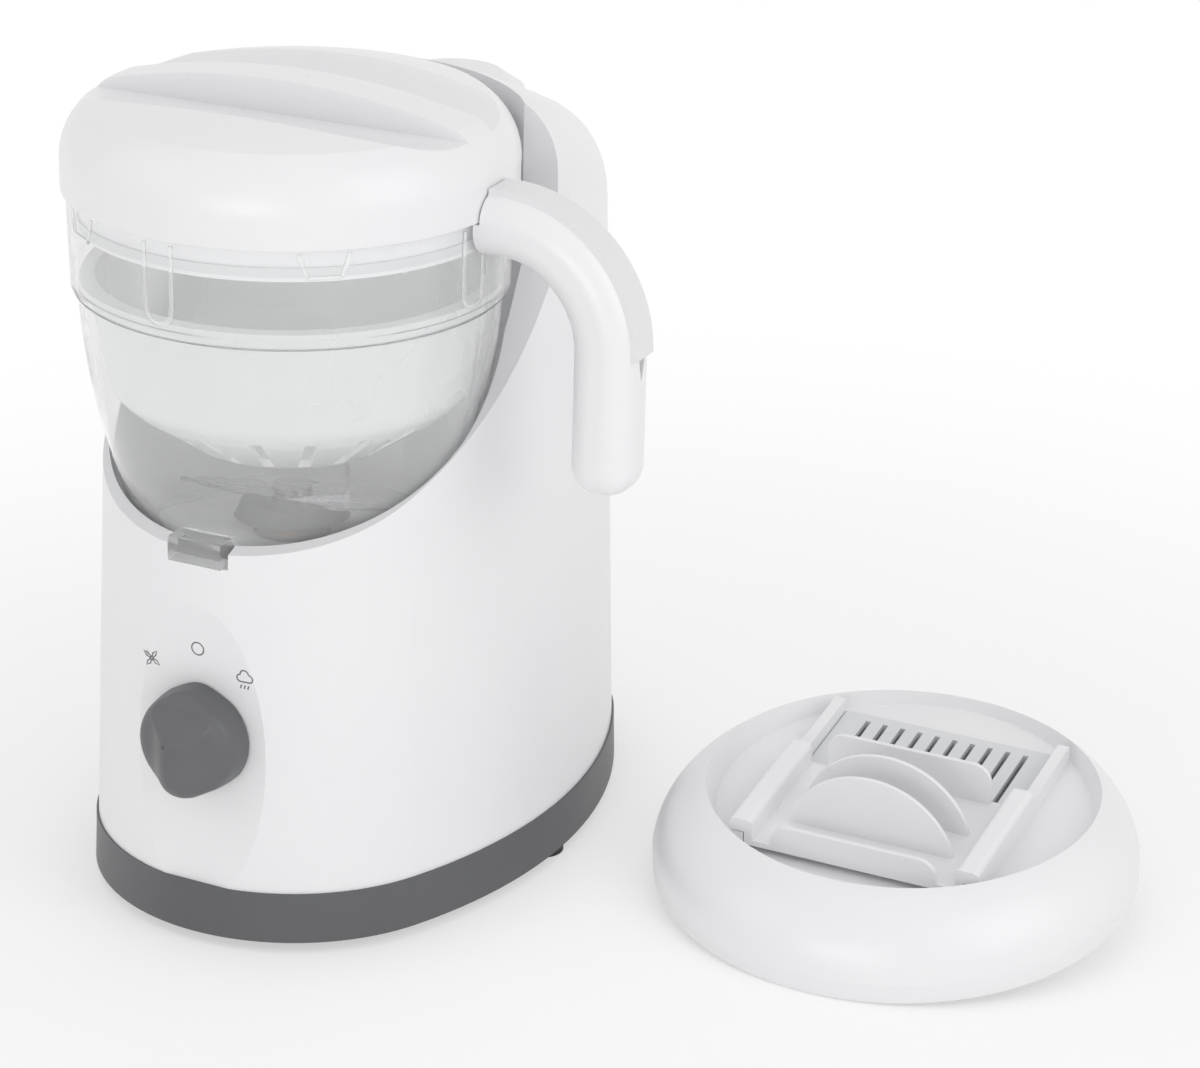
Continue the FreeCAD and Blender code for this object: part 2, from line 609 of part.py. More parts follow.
# Basket: hangs by its rim on the jug's ledge, with slots round its lower wall.
rim_low = "ledge_height + rest_gap"
basket = lathe("basket_shell", [
    ("0", "basket_floor_height"), ("basket_low_radius", "basket_floor_height"),
    ("basket_radius - basket_bend", "basket_bend_height - basket_bend"),
    ("basket_radius", "basket_bend_height"), ("seam_radius - jug_wall - basket_side_gap", rim_low),
    ("basket_rim_radius", rim_low), ("basket_rim_radius", rim_low + " + basket_rim_thick"),
    ("seam_radius - jug_wall - basket_side_gap - basket_wall", rim_low + " + basket_rim_thick"),
    ("basket_radius - basket_wall", "basket_bend_height"),
    ("basket_radius - basket_wall - basket_bend", "basket_bend_height - basket_bend + basket_wall / 2"),
    ("basket_low_radius - basket_wall / 2", "basket_floor_height + basket_wall"),
    ("0", "basket_floor_height + basket_wall")],
    on_axis())


def basket_rings(edge):
    curve = edge.Curve
    if not isinstance(curve, Part.Circle):
        return False
    low = size("basket_floor_height - basket_wall")
    return low < curve.Center.z < size("basket_bend_height + basket_wall")


round_edges(basket, "basket_round", basket_rings)
slots = []
count = int(size("basket_slot_count"))
for index in range(count):
    turn = Rotation(Vector(0, 0, 1), 360 * index / count)
    slot = block("basket_radius - basket_low_radius - slot_sink", "basket_slot_width",
                 "basket_bend_height - basket_floor_height", on_axis("basket_floor_height - slot_sink"))
    slot.Placement.Rotation = turn
    spread = turn.multVec(Vector(size("basket_low_radius + slot_margin"), -size("basket_slot_width / 2"), 0))
    slot.Placement.Base = slot.Placement.Base + spread
    slots.append(slot)
keep(less(basket, *slots), "steam_basket")


# Lid: a domed cover with a finger grip left standing between two scoops.
def dome(inset):
    radius = size("lid_radius") - inset
    low = size("lid_low_height") - inset / 2
    edge = Vector(radius, 0, size("lid_edge_height"))
    shoulder = Vector(size("lid_shoulder_radius") - inset, 0, size("lid_shoulder_height") - inset)
    bulge = Vector(radius - size("bulge_in"), 0, (edge.z + shoulder.z) / 2 + size("bulge_up"))
    top = Vector(0, 0, size("lid_top_height") - inset)
    rise = top.z - shoulder.z
    sphere = (shoulder.x ** 2 + rise ** 2) / (2 * rise)
    half_angle = math.asin(shoulder.x / sphere) / 2
    crown = top + Vector(sphere * math.sin(half_angle), 0, sphere * (math.cos(half_angle) - 1))
    edges = [
        Part.makeLine(Vector(0, 0, low), Vector(radius, 0, low)),
        Part.makeLine(Vector(radius, 0, low), edge),
        Part.Arc(edge, bulge, shoulder).toShape(),
        Part.Arc(shoulder, crown, top).toShape(),
        Part.makeLine(top, Vector(0, 0, low)),
    ]
    return Part.Face(Part.Wire(edges)).revolve(Vector(0, 0, 0), Vector(0, 0, 1), 360)


def scoop(grow, facing):
    wall = facing * (size("grip_half") - grow)
    rise = facing * (size("grip_rise_reach") + grow)
    floor = size("grip_floor_height") - grow
    rise_height = size("grip_rise_height") - grow / 2
    high = size("lid_top_height + lid_shoulder_radius")
    middle = Vector(0, (wall + rise) / 2, (floor + rise_height) / 2 - size("grip_sag"))
    corner = Vector(0, wall, floor)
    lip = Vector(0, rise, rise_height)
    far = Vector(0, rise + facing * (high - rise_height), high)
    edges = [
        Part.Arc(corner, middle, lip).toShape(),
        Part.makeLine(lip, far),
        Part.makeLine(far, Vector(0, wall, high)),
        Part.makeLine(Vector(0, wall, high), corner),
    ]
    face = Part.Face(Part.Wire(edges))
    wide = size("lid_radius")
    face.translate(Vector(-wide, 0, 0))
    return face.extrude(Vector(2 * wide, 0, 0))


def lid():
    wall = size("lid_wall")
    outside = dome(0).cut(scoop(0, -1)).cut(scoop(0, 1))
    inside = dome(wall).cut(scoop(wall, -1)).cut(scoop(wall, 1))
    flange_low = size("lid_low_height")
    flange = Part.makeCylinder(size("lid_radius - lid_wall / 2"), wall, Vector(0, 0, flange_low))
    skirt_low = size("skirt_low_height")
    skirt = Part.makeCylinder(size("skirt_radius"), flange_low + wall - skirt_low, Vector(0, 0, skirt_low))
    clear_low = Vector(0, 0, skirt_low - wall)
    clear = Part.makeCylinder(size("skirt_radius - skirt_wall"), size("bore_run"), clear_low)
    cover = outside.cut(inside)
    cover = cover.fuse(flange.fuse(skirt).cut(clear))
    return cover.removeSplitter()


shaped("lid", lid(), on_axis())
turned("lid_seal", [
    ("skirt_radius + run_clearance", "skirt_low_height + seal_thick"),
    ("skirt_radius + seal_thick / 2", "skirt_low_height + seal_thick"),
    ("skirt_radius + seal_thick / 2", "skirt_low_height + seal_thick * 3"),
    ("skirt_radius + run_clearance", "skirt_low_height + seal_thick * 3")], on_axis())


# Handle: a rounded bar that leaves the band under the lid, bends over and hangs free.
def handle_path(offset):
    height = size("handle_height") + offset
    bend = size("handle_bend") + offset
    centre = Vector(size("handle_bend_start"), 0, size("handle_height - handle_bend"))
    start = Vector(size("handle_start"), 0, height)
    top = centre + Vector(0, 0, bend)
    side = centre + Vector(bend, 0, 0)
    middle = centre + Vector(bend, 0, bend) * math.sqrt(0.5)
    middle = centre + (middle - centre) * (bend / (middle - centre).Length)
    end = Vector(side.x, 0, size("handle_end_height"))
    return [Part.makeLine(start, top), Part.Arc(top, middle, side).toShape(), Part.makeLine(side, end)]


def bar(thick, width, edges, corner):
    start = edges[0].Vertexes[0].Point
    face = Part.makePolygon([start + Vector(0, y, z) for y, z in (
        (-width / 2, -thick / 2), (width / 2, -thick / 2), (width / 2, thick / 2), (-width / 2, thick / 2),
        (-width / 2, -thick / 2))])
    solid = Part.Wire(edges).makePipeShell([face], True, False)
    if corner:
        first = start.x + size("run_clearance")
        rounded = [edge for edge in solid.Edges if edge.BoundBox.XMax > first]
        solid = solid.makeFillet(corner, rounded)
    return solid


def clear_of_jug(solid):
    band_height = size("jug_rim_height - shoulder_height")
    band_low = Vector(0, 0, size("shoulder_height"))
    band = Part.makeCone(size("band_radius"), size("band_top_radius"), band_height, band_low)
    run = size("bore_run")
    lid_room = Part.makeCylinder(size("lid_radius + lid_gap"), run, Vector(0, 0, size("jug_rim_height")))
    below_low = Vector(0, 0, size("shoulder_height") - run)
    below = Part.makeCylinder(size("band_radius + lid_gap"), run, below_low)
    return solid.cut(band).cut(lid_room).cut(below)


thick = size("handle_thick")
handle_bar = bar(thick, size("handle_width"), handle_path(0), size("handle_round"))
cover_offset = (thick - size("cover_thick")) / 2 + size("cover_proud")
cover_bar = bar(size("cover_thick"), size("cover_width"), handle_path(cover_offset)[:2], 0)
shaped("jug_handle", clear_of_jug(handle_bar.cut(cover_bar)), on_axis())
shaped("handle_cover", clear_of_jug(cover_bar), on_axis())

# Knob, its spindle and the switch behind the panel.
panel_face = "0 - half_depth + draft * (knob_height - tray_top) + panel_depth"
toward_front = Rotation(Vector(1, 0, 0), 90)
knob_place = at("0", panel_face + " - knob_gap", "knob_height", toward_front)
hollow_depth = "knob_depth - knob_cover"
knob = lathe("knob_shell", [
    ("knob_shaft_radius", "0"), ("knob_radius", "0"), ("knob_radius", "knob_rim"),
    ("knob_radius - knob_taper", "knob_depth - knob_rim"), ("knob_radius - knob_cover", "knob_depth"),
    ("0", "knob_depth"), ("0", hollow_depth), ("knob_shaft_radius", hollow_depth)], knob_place)
ridge = block("knob_grip_width", "knob_depth", "knob_grip_length",
              at("0 - knob_grip_width / 2", panel_face + " - knob_gap - knob_depth - knob_grip_proud",
                 "knob_height - knob_grip_length / 2"))
hollow = rod("knob_shaft_radius", hollow_depth, knob_place)
keep(less(fused(knob, ridge), hollow), "control_knob")
switch_y = panel_face + " + casing_wall + rest_gap"
keep(rod("knob_shaft_radius", "knob_gap + casing_wall + rest_gap + knob_depth - knob_cover",
         at("0", switch_y, "knob_height", toward_front)), "knob_shaft")
keep(block("switch_size", "switch_depth", "switch_size",
           at("0 - switch_size / 2", switch_y, "knob_height - switch_size / 2")), "rotary_switch")

# Boiler in the tower, its bracket, heater, thermostat, steam nozzle and cap.
boiler_y = "boiler_reach - axis_ahead"
boiler_place = at("0", boiler_y)
turned("boiler_tank", [
    ("0", "boiler_low_height"), ("boiler_radius", "boiler_low_height"),
    ("boiler_radius", "boiler_top_height"),
    ("neck_radius", "boiler_top_height + boiler_wall"), ("neck_radius", "cap_seat_height - rest_gap"),
    ("neck_radius - boiler_wall", "cap_seat_height - rest_gap"),
    ("neck_radius - boiler_wall", "boiler_top_height"),
    ("boiler_radius - boiler_wall", "boiler_top_height - boiler_wall"),
    ("boiler_radius - boiler_wall", "boiler_low_height + boiler_wall"),
    ("0", "boiler_low_height + boiler_wall")], boiler_place)
heater_low = "boiler_low_height - heater_height"
turned("heating_element", [
    ("heater_inner", heater_low), ("heater_outer", heater_low),
    ("heater_outer", "boiler_low_height"), ("heater_inner", "boiler_low_height")], boiler_place)
keep(rod("thermostat_radius", "heater_height", at("0", boiler_y, heater_low)), "thermostat")
deck = "chassis_height + chassis_thick"
bracket_y = boiler_y + " - bracket_width / 2"
legs = []
for side in (-1, 1):
    leg_x = f"{side} * boiler_radius - bracket_thick / 2"
    legs.append(block("bracket_thick", "bracket_width", "boiler_low_height - chassis_height - chassis_thick",
                      at(leg_x, bracket_y, deck)))
feet_plate = block("boiler_radius * 2", "bracket_width", "bracket_floor",
                   at("0 - boiler_radius", bracket_y, deck))
keep(fused(feet_plate, *legs), "boiler_bracket")
nozzle_length = "boiler_reach - boiler_radius - well_top_radius - rest_gap"
nozzle_place = at("0", "boiler_reach - boiler_radius - axis_ahead", "tube_height", toward_front)
turned("steam_nozzle", [
    ("tube_radius / 2", "0"), ("tube_radius", "0"), ("tube_radius", nozzle_length),
    ("tube_radius / 2", nozzle_length)],
    nozzle_place)
cap_low = "cap_seat_height + rest_gap"
plug_radius = "neck_radius - boiler_wall - plug_gap"
turned("boiler_cap", [
    ("0", "cap_seat_height - cap_plug_depth"), (plug_radius, "cap_seat_height - cap_plug_depth"),
    (plug_radius, cap_low + " + seal_thick"), ("cap_radius", cap_low + " + seal_thick"),
    ("cap_radius", cap_low + " + cap_height / 2"), ("cap_radius - cap_slope", cap_low + " + cap_height"),
    ("0", cap_low + " + cap_height")], boiler_place)
turned("boiler_seal", [
    ("neck_radius + cap_seal_gap", cap_low), ("cap_radius - cap_seal_inset", cap_low),
    ("cap_radius - cap_seal_inset", cap_low + " + seal_thick"),
    ("neck_radius + cap_seal_gap", cap_low + " + seal_thick")], boiler_place)

# Electrics on the chassis and at the rear wall.
keep(block("board_width", "board_thick", "board_height",
           at("0 - board_width / 2", "half_depth / 8", deck)), "control_board")
keep(block("interlock_length", "interlock_width", "interlock_height",
           at("interlock_side", "0 - axis_ahead - interlock_width / 2",
              "seat_height - casing_wall - interlock_height")), "interlock_switch")
rear_y = "half_depth - draft * (inlet_height - tray_top) + rest_gap"
gland_radius = "tube_radius + well_gap"
gland_bore = "tube_radius - gland_wall"
gland_end = "casing_wall + gland_run"
turned("cord_inlet", [
    (gland_bore, "0 - gland_flange_thick"), (gland_radius + " + gland_flange", "0 - gland_flange_thick"),
    (gland_radius + " + gland_flange", "0"), (gland_radius, "0"), (gland_radius, gland_end),
    (gland_bore, gland_end)], at("0", rear_y, "inlet_height", toward_front))

# Grater lid: a tilted dish inside a domed rim, standing on a level ring.
tilt = Rotation(Vector(1, 0, 0), size("grater_tilt"))
grater_slope = math.sin(math.radians(size("grater_tilt")))
grater_lift = size("grater_stand - grater_edge") + size("grater_radius") * grater_slope
grater_place = at("grater_side", "grater_back", "0", tilt)
grater_place.Base = grater_place.Base + Vector(0, 0, grater_lift)


def grater_dome(inset):
    radius = size("grater_radius") - inset
    low = size("grater_edge")
    top = size("grater_top") - inset
    edge = Vector(radius, 0, size("grater_waist"))
    aslant = inset * math.sqrt(0.5)
    shoulder = Vector(size("grater_shoulder_radius") - aslant, 0, size("grater_shoulder") - aslant)
    brow = Vector(size("grater_top_radius"), 0, top)
    edges = [
        Part.makeLine(Vector(0, 0, low), Vector(radius, 0, low)),
        Part.makeLine(Vector(radius, 0, low), edge),
        Part.Arc(edge, shoulder, brow).toShape(),
        Part.makeLine(brow, Vector(0, 0, top)),
        Part.makeLine(Vector(0, 0, top), Vector(0, 0, low)),
    ]
    return Part.Face(Part.Wire(edges)).revolve(Vector(0, 0, 0), Vector(0, 0, 1), 360)


def dish_cup(grow, low):
    rise = size("grater_top * 2") - low
    slope = size("(dish_radius - dish_low_radius) / (grater_top - dish_floor)")
    low_radius = size("dish_low_radius") + grow
    return Part.makeCone(low_radius, low_radius + slope * rise, rise, Vector(0, size("dish_back"), low))


def grater_dish():
    wall = size("grater_wall")
    floor = size("dish_floor")
    outside = grater_dome(0)
    cup = dish_cup(wall, floor - wall).common(outside)
    shell = outside.cut(grater_dome(wall)).fuse(cup).cut(dish_cup(0, floor))
    length = size("rail_length")
    width = size("rail_width")
    for side in (-1, 1):
        middle = side * size("rail_half_gap + rail_width / 2")
        rail = Part.makeBox(width, length, size("rail_height"),
                            Vector(middle - width / 2, size("rail_front"), size("dish_floor")))
        shell = shell.fuse(rail)
    window_wide = size("slit_count * slit_pitch")
    window_front = size("rail_front + rail_length - slit_length - slit_margin")
    window = Part.makeBox(window_wide, size("slit_length"), wall * 3,
                          Vector(-window_wide / 2, window_front, floor - wall * 2))
    shell = shell.cut(window)
    shell.Placement = grater_place
    ring_outer = Part.makeCylinder(size("ring_radius"), size("grater_top * 2"))
    ring_inner = Part.makeCylinder(size("ring_radius - ring_wall"), size("grater_top * 2"))
    ring = ring_outer.cut(ring_inner)
    ring.translate(Vector(grater_place.Base.x, grater_place.Base.y, 0))
    wide = size("grater_radius * 4")
    under = Part.makeBox(wide, wide, wide, Vector(-wide / 2, -wide / 2, floor - wall / 2 - wide))
    under.Placement = grater_place
    return shell.fuse(ring.common(under)).removeSplitter()


shaped("grater_dish", grater_dish())


def grater_plate():
    half = size("rail_half_gap - slide_clearance")
    length = size("plate_length")
    thick = size("plate_thick")
    back = size("rail_front + rail_length")
    plate = Part.makeBox(2 * half, length, thick, Vector(-half, back - length, size("dish_floor")))
    count = int(size("slit_count"))
    for index in range(count):
        across = (index - (count - 1) / 2) * size("slit_pitch")
        slit = Part.makeBox(size("slit_width"), size("slit_length - slit_margin"), thick * 3,
                            Vector(across - size("slit_width") / 2, back - size("slit_length"),
                                   size("dish_floor") - thick))
        plate = plate.cut(slit)
    return plate


shaped("grater_plate", grater_plate(), grater_place)


# Food holder: a floor with two fins between low walls, on runners over the rails.
def food_holder():
    clear = size("slide_clearance")
    floor_low = size("dish_floor + plate_thick") + clear
    front = size("rail_front")
    length = size("holder_length")
    half = size("rail_half_gap") - clear
    holder = Part.makeBox(2 * half, length, size("holder_floor"), Vector(-half, front, floor_low))
    floor_top = floor_low + size("holder_floor")
    thick = size("fin_thick")
    fin_half = size("fin_half")
    ends = [Vector(-fin_half, 0, 0), Vector(0, 0, size("fin_radius")), Vector(fin_half, 0, 0)]
    fin_edge = Part.Wire([Part.Arc(*ends).toShape(), Part.makeLine(ends[2], ends[0])])
    for along in (size("first_fin"), size("second_fin")):
        fin = Part.Face(fin_edge).extrude(Vector(0, thick, 0))
        fin.translate(Vector(0, front + along, floor_top))
        holder = holder.fuse(fin)
    for along, height in ((0, size("front_wall_height")), (length - thick, size("back_wall_height"))):
        wall = Part.makeBox(2 * fin_half, thick, height, Vector(-fin_half, front + along, floor_top))
        tops = []
        for edge in wall.Edges:
            box = edge.BoundBox
            if box.YLength > thick / 2 and box.ZMin > floor_top + height / 2:
                tops.append(edge)
        holder = holder.fuse(wall.makeFillet(size("wall_round"), tops))
    rail_top = size("dish_floor + rail_height") + clear
    web_wide = size("runner_web")
    inner = half - web_wide
    outer = size("rail_half_gap + rail_width + runner_lip")
    for side in (-1, 1):
        web_x = inner if side > 0 else -half
        web = Part.makeBox(web_wide, length, rail_top - floor_low, Vector(web_x, front, floor_low))
        top_x = inner if side > 0 else -outer
        top = Part.makeBox(outer - inner, length, size("runner_height"), Vector(top_x, front, rail_top))
        ridges = []
        for edge in top.Edges:
            box = edge.BoundBox
            if box.YLength > length / 2 and box.ZMin > rail_top + size("runner_height") / 2:
                ridges.append(edge)
        holder = holder.fuse(web).fuse(top.makeFillet(size("runner_round"), ridges))
    return holder.removeSplitter()


shaped("food_holder", food_holder(), grater_place)

# Every object is checked before anything is written.
doc.recompute()
for item in doc.Objects:
    if "Invalid" in item.State or "Error" in item.State:
        raise RuntimeError(f"{item.Label} failed: {item.State}")
for piece in pieces:
    if piece.Shape.isNull() or not piece.Shape.isValid():
        raise RuntimeError(f"{piece.Label} has no valid shape")
os.makedirs("parts", exist_ok=True)
for piece in pieces:
    piece.Shape.exportStep(f"parts/{piece.Label}.step")
    print(piece.Label, len(piece.Shape.Solids), round(piece.Shape.Volume))
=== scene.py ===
import math

import bpy
from mathutils import Matrix, Vector


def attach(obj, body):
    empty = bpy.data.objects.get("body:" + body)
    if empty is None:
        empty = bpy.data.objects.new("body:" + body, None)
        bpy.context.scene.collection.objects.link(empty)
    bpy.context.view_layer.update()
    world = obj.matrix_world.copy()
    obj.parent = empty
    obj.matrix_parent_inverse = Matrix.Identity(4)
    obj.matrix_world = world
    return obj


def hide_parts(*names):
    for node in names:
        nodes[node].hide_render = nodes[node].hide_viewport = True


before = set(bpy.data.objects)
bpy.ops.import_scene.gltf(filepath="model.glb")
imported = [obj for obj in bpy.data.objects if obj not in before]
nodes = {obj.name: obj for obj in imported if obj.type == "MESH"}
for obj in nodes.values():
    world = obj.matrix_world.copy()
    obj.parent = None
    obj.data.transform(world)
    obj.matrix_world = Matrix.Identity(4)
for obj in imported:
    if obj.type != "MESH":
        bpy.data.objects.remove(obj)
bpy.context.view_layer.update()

scene = bpy.context.scene
mm = 0.001
jugAxis = Vector((0, -51 * mm, 0))


# Operators work on what is selected, so each piece starts from nothing.
def deselectAll():
    if bpy.context.object and bpy.context.object.mode != "OBJECT":
        bpy.ops.object.mode_set(mode="OBJECT")
    bpy.ops.object.select_all(action="DESELECT")


def activate(piece):
    deselectAll()
    piece.select_set(True)
    bpy.context.view_layer.objects.active = piece


# Puts the object's place into its mesh and hands the piece to its body.
def finishPiece(piece, name, body, material, smoothAngle=35):
    activate(piece)
    bpy.ops.object.transform_apply(location=True, rotation=True, scale=True)
    piece.name = name
    piece.data.name = name
    bpy.ops.object.shade_smooth_by_angle(angle=math.radians(smoothAngle))
    piece.data.materials.clear()
    piece.data.materials.append(material)
    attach(piece, body)
    return piece


def applyModifier(piece, kind, **values):
    activate(piece)
    modifier = piece.modifiers.new(kind.title(), kind)
    for key, value in values.items():
        setattr(modifier, key, value)
    bpy.ops.object.modifier_apply(modifier=modifier.name)


def recalculate(piece):
    activate(piece)
    bpy.ops.object.mode_set(mode="EDIT")
    bpy.ops.mesh.select_all(action="SELECT")
    bpy.ops.mesh.remove_doubles(threshold=0.01 * mm)
    bpy.ops.mesh.normals_make_consistent(inside=False)
    bpy.ops.object.mode_set(mode="OBJECT")


# Camera at the photograph's viewing angle, fitted to the lid, the seam and the base.
cameraSetup = {"target": (24.41, -61.27, 128.79), "azimuth": 28.96, "elevation": 22.45,
               "distance": 1260.14, "lens": 111.75, "shiftX": 0.2167, "shiftY": 0.0116}


def makeCamera(setup):
    azimuth = math.radians(setup["azimuth"])
    elevation = math.radians(setup["elevation"])
    back = Vector((math.sin(azimuth) * math.cos(elevation),
                   -math.cos(azimuth) * math.cos(elevation), math.sin(elevation)))
    deselectAll()
    bpy.ops.object.camera_add(location=(Vector(setup["target"]) + back * setup["distance"]) * mm)
    camera = bpy.context.object
    camera.name = "photoCamera"
    camera.rotation_mode = "QUATERNION"
    camera.rotation_quaternion = (-back).to_track_quat("-Z", "Y")
    camera.data.sensor_width = 36
    camera.data.sensor_fit = "HORIZONTAL"
    camera.data.lens = setup["lens"]
    camera.data.shift_x = setup["shiftX"]
    camera.data.shift_y = setup["shiftY"]
    camera.data.clip_start = 0.01
    camera.data.clip_end = 50
    camera.data.dof.use_dof = False
    scene.camera = camera


makeCamera(cameraSetup)
scene.view_settings.view_transform = "Standard"
print("camera placed")


# Shader helpers
def link(tree, source, target):
    tree.links.new(source, target)


def addNode(tree, kind, **values):
    node = tree.nodes.new(kind)
    for key, value in values.items():
        setattr(node, key, value)
    return node


def newGroup(name, inputs, outputs):
    group = bpy.data.node_groups.new(name, "ShaderNodeTree")
    for label, kind, value in inputs:
        socket = group.interface.new_socket(name=label, in_out="INPUT", socket_type=kind)
        socket.default_value = value
    for label, kind in outputs:
        group.interface.new_socket(name=label, in_out="OUTPUT", socket_type=kind)
    entry = addNode(group, "NodeGroupInput")
    leave = addNode(group, "NodeGroupOutput")
    return group, entry, leave


# Moulded plastic: slow flow marks in the colour and gloss, fine spark grain in the height.
def makeMouldedSkin():
    group, entry, leave = newGroup(
        "mouldedSkin",
        [("Colour", "NodeSocketColor", (0.8, 0.8, 0.8, 1)), ("Shade", "NodeSocketColor", (0.7, 0.7, 0.7, 1)),
         ("Flow Scale", "NodeSocketFloat", 14.0), ("Grain Scale", "NodeSocketFloat", 2600.0),
         ("Roughness Low", "NodeSocketFloat", 0.3), ("Roughness High", "NodeSocketFloat", 0.4)],
        [("Colour", "NodeSocketColor"), ("Roughness", "NodeSocketFloat"), ("Height", "NodeSocketFloat")])
    coordinates = addNode(group, "ShaderNodeTexCoord")
    flow = addNode(group, "ShaderNodeTexNoise")
    flow.inputs["Detail"].default_value = 3.0
    grain = addNode(group, "ShaderNodeTexNoise")
    grain.inputs["Detail"].default_value = 2.0
    link(group, coordinates.outputs["Object"], flow.inputs["Vector"])
    link(group, coordinates.outputs["Object"], grain.inputs["Vector"])
    link(group, entry.outputs["Flow Scale"], flow.inputs["Scale"])
    link(group, entry.outputs["Grain Scale"], grain.inputs["Scale"])
    spread = addNode(group, "ShaderNodeMapRange")
    spread.inputs["From Min"].default_value = 0.3
    spread.inputs["From Max"].default_value = 0.7
    link(group, flow.outputs["Fac"], spread.inputs["Value"])
    tint = addNode(group, "ShaderNodeMix", data_type="RGBA")
    link(group, spread.outputs["Result"], tint.inputs["Factor"])
    link(group, entry.outputs["Colour"], tint.inputs["A"])
    link(group, entry.outputs["Shade"], tint.inputs["B"])
    gloss = addNode(group, "ShaderNodeMapRange")
    link(group, flow.outputs["Fac"], gloss.inputs["Value"])
    link(group, entry.outputs["Roughness Low"], gloss.inputs["To Min"])
    link(group, entry.outputs["Roughness High"], gloss.inputs["To Max"])
    link(group, tint.outputs["Result"], leave.inputs["Colour"])
    link(group, gloss.outputs["Result"], leave.inputs["Roughness"])
    link(group, grain.outputs["Fac"], leave.inputs["Height"])
    return group


# Brushed metal: streaks along one direction.
def makeBrushedSkin():
    group, entry, leave = newGroup(
        "brushedSkin",
        [("Colour", "NodeSocketColor", (0.6, 0.6, 0.6, 1)), ("Shade", "NodeSocketColor", (0.4, 0.4, 0.4, 1)),
         ("Streak Scale", "NodeSocketFloat", 900.0), ("Roughness Low", "NodeSocketFloat", 0.2),
         ("Roughness High", "NodeSocketFloat", 0.4)],
        [("Colour", "NodeSocketColor"), ("Roughness", "NodeSocketFloat"), ("Height", "NodeSocketFloat")])
    coordinates = addNode(group, "ShaderNodeTexCoord")
    stretch = addNode(group, "ShaderNodeMapping")
    stretch.inputs["Scale"].default_value = (0.06, 1.0, 1.0)
    streak = addNode(group, "ShaderNodeTexNoise")
    streak.inputs["Detail"].default_value = 4.0
    link(group, coordinates.outputs["Object"], stretch.inputs["Vector"])
    link(group, stretch.outputs["Vector"], streak.inputs["Vector"])
    link(group, entry.outputs["Streak Scale"], streak.inputs["Scale"])
    tint = addNode(group, "ShaderNodeMix", data_type="RGBA")
    link(group, streak.outputs["Fac"], tint.inputs["Factor"])
    link(group, entry.outputs["Colour"], tint.inputs["A"])
    link(group, entry.outputs["Shade"], tint.inputs["B"])
    gloss = addNode(group, "ShaderNodeMapRange")
    link(group, streak.outputs["Fac"], gloss.inputs["Value"])
    link(group, entry.outputs["Roughness Low"], gloss.inputs["To Min"])
    link(group, entry.outputs["Roughness High"], gloss.inputs["To Max"])
    link(group, tint.outputs["Result"], leave.inputs["Colour"])
    link(group, gloss.outputs["Result"], leave.inputs["Roughness"])
    link(group, streak.outputs["Fac"], leave.inputs["Height"])
    return group


skins = {"moulded": makeMouldedSkin(), "brushed": makeBrushedSkin()}

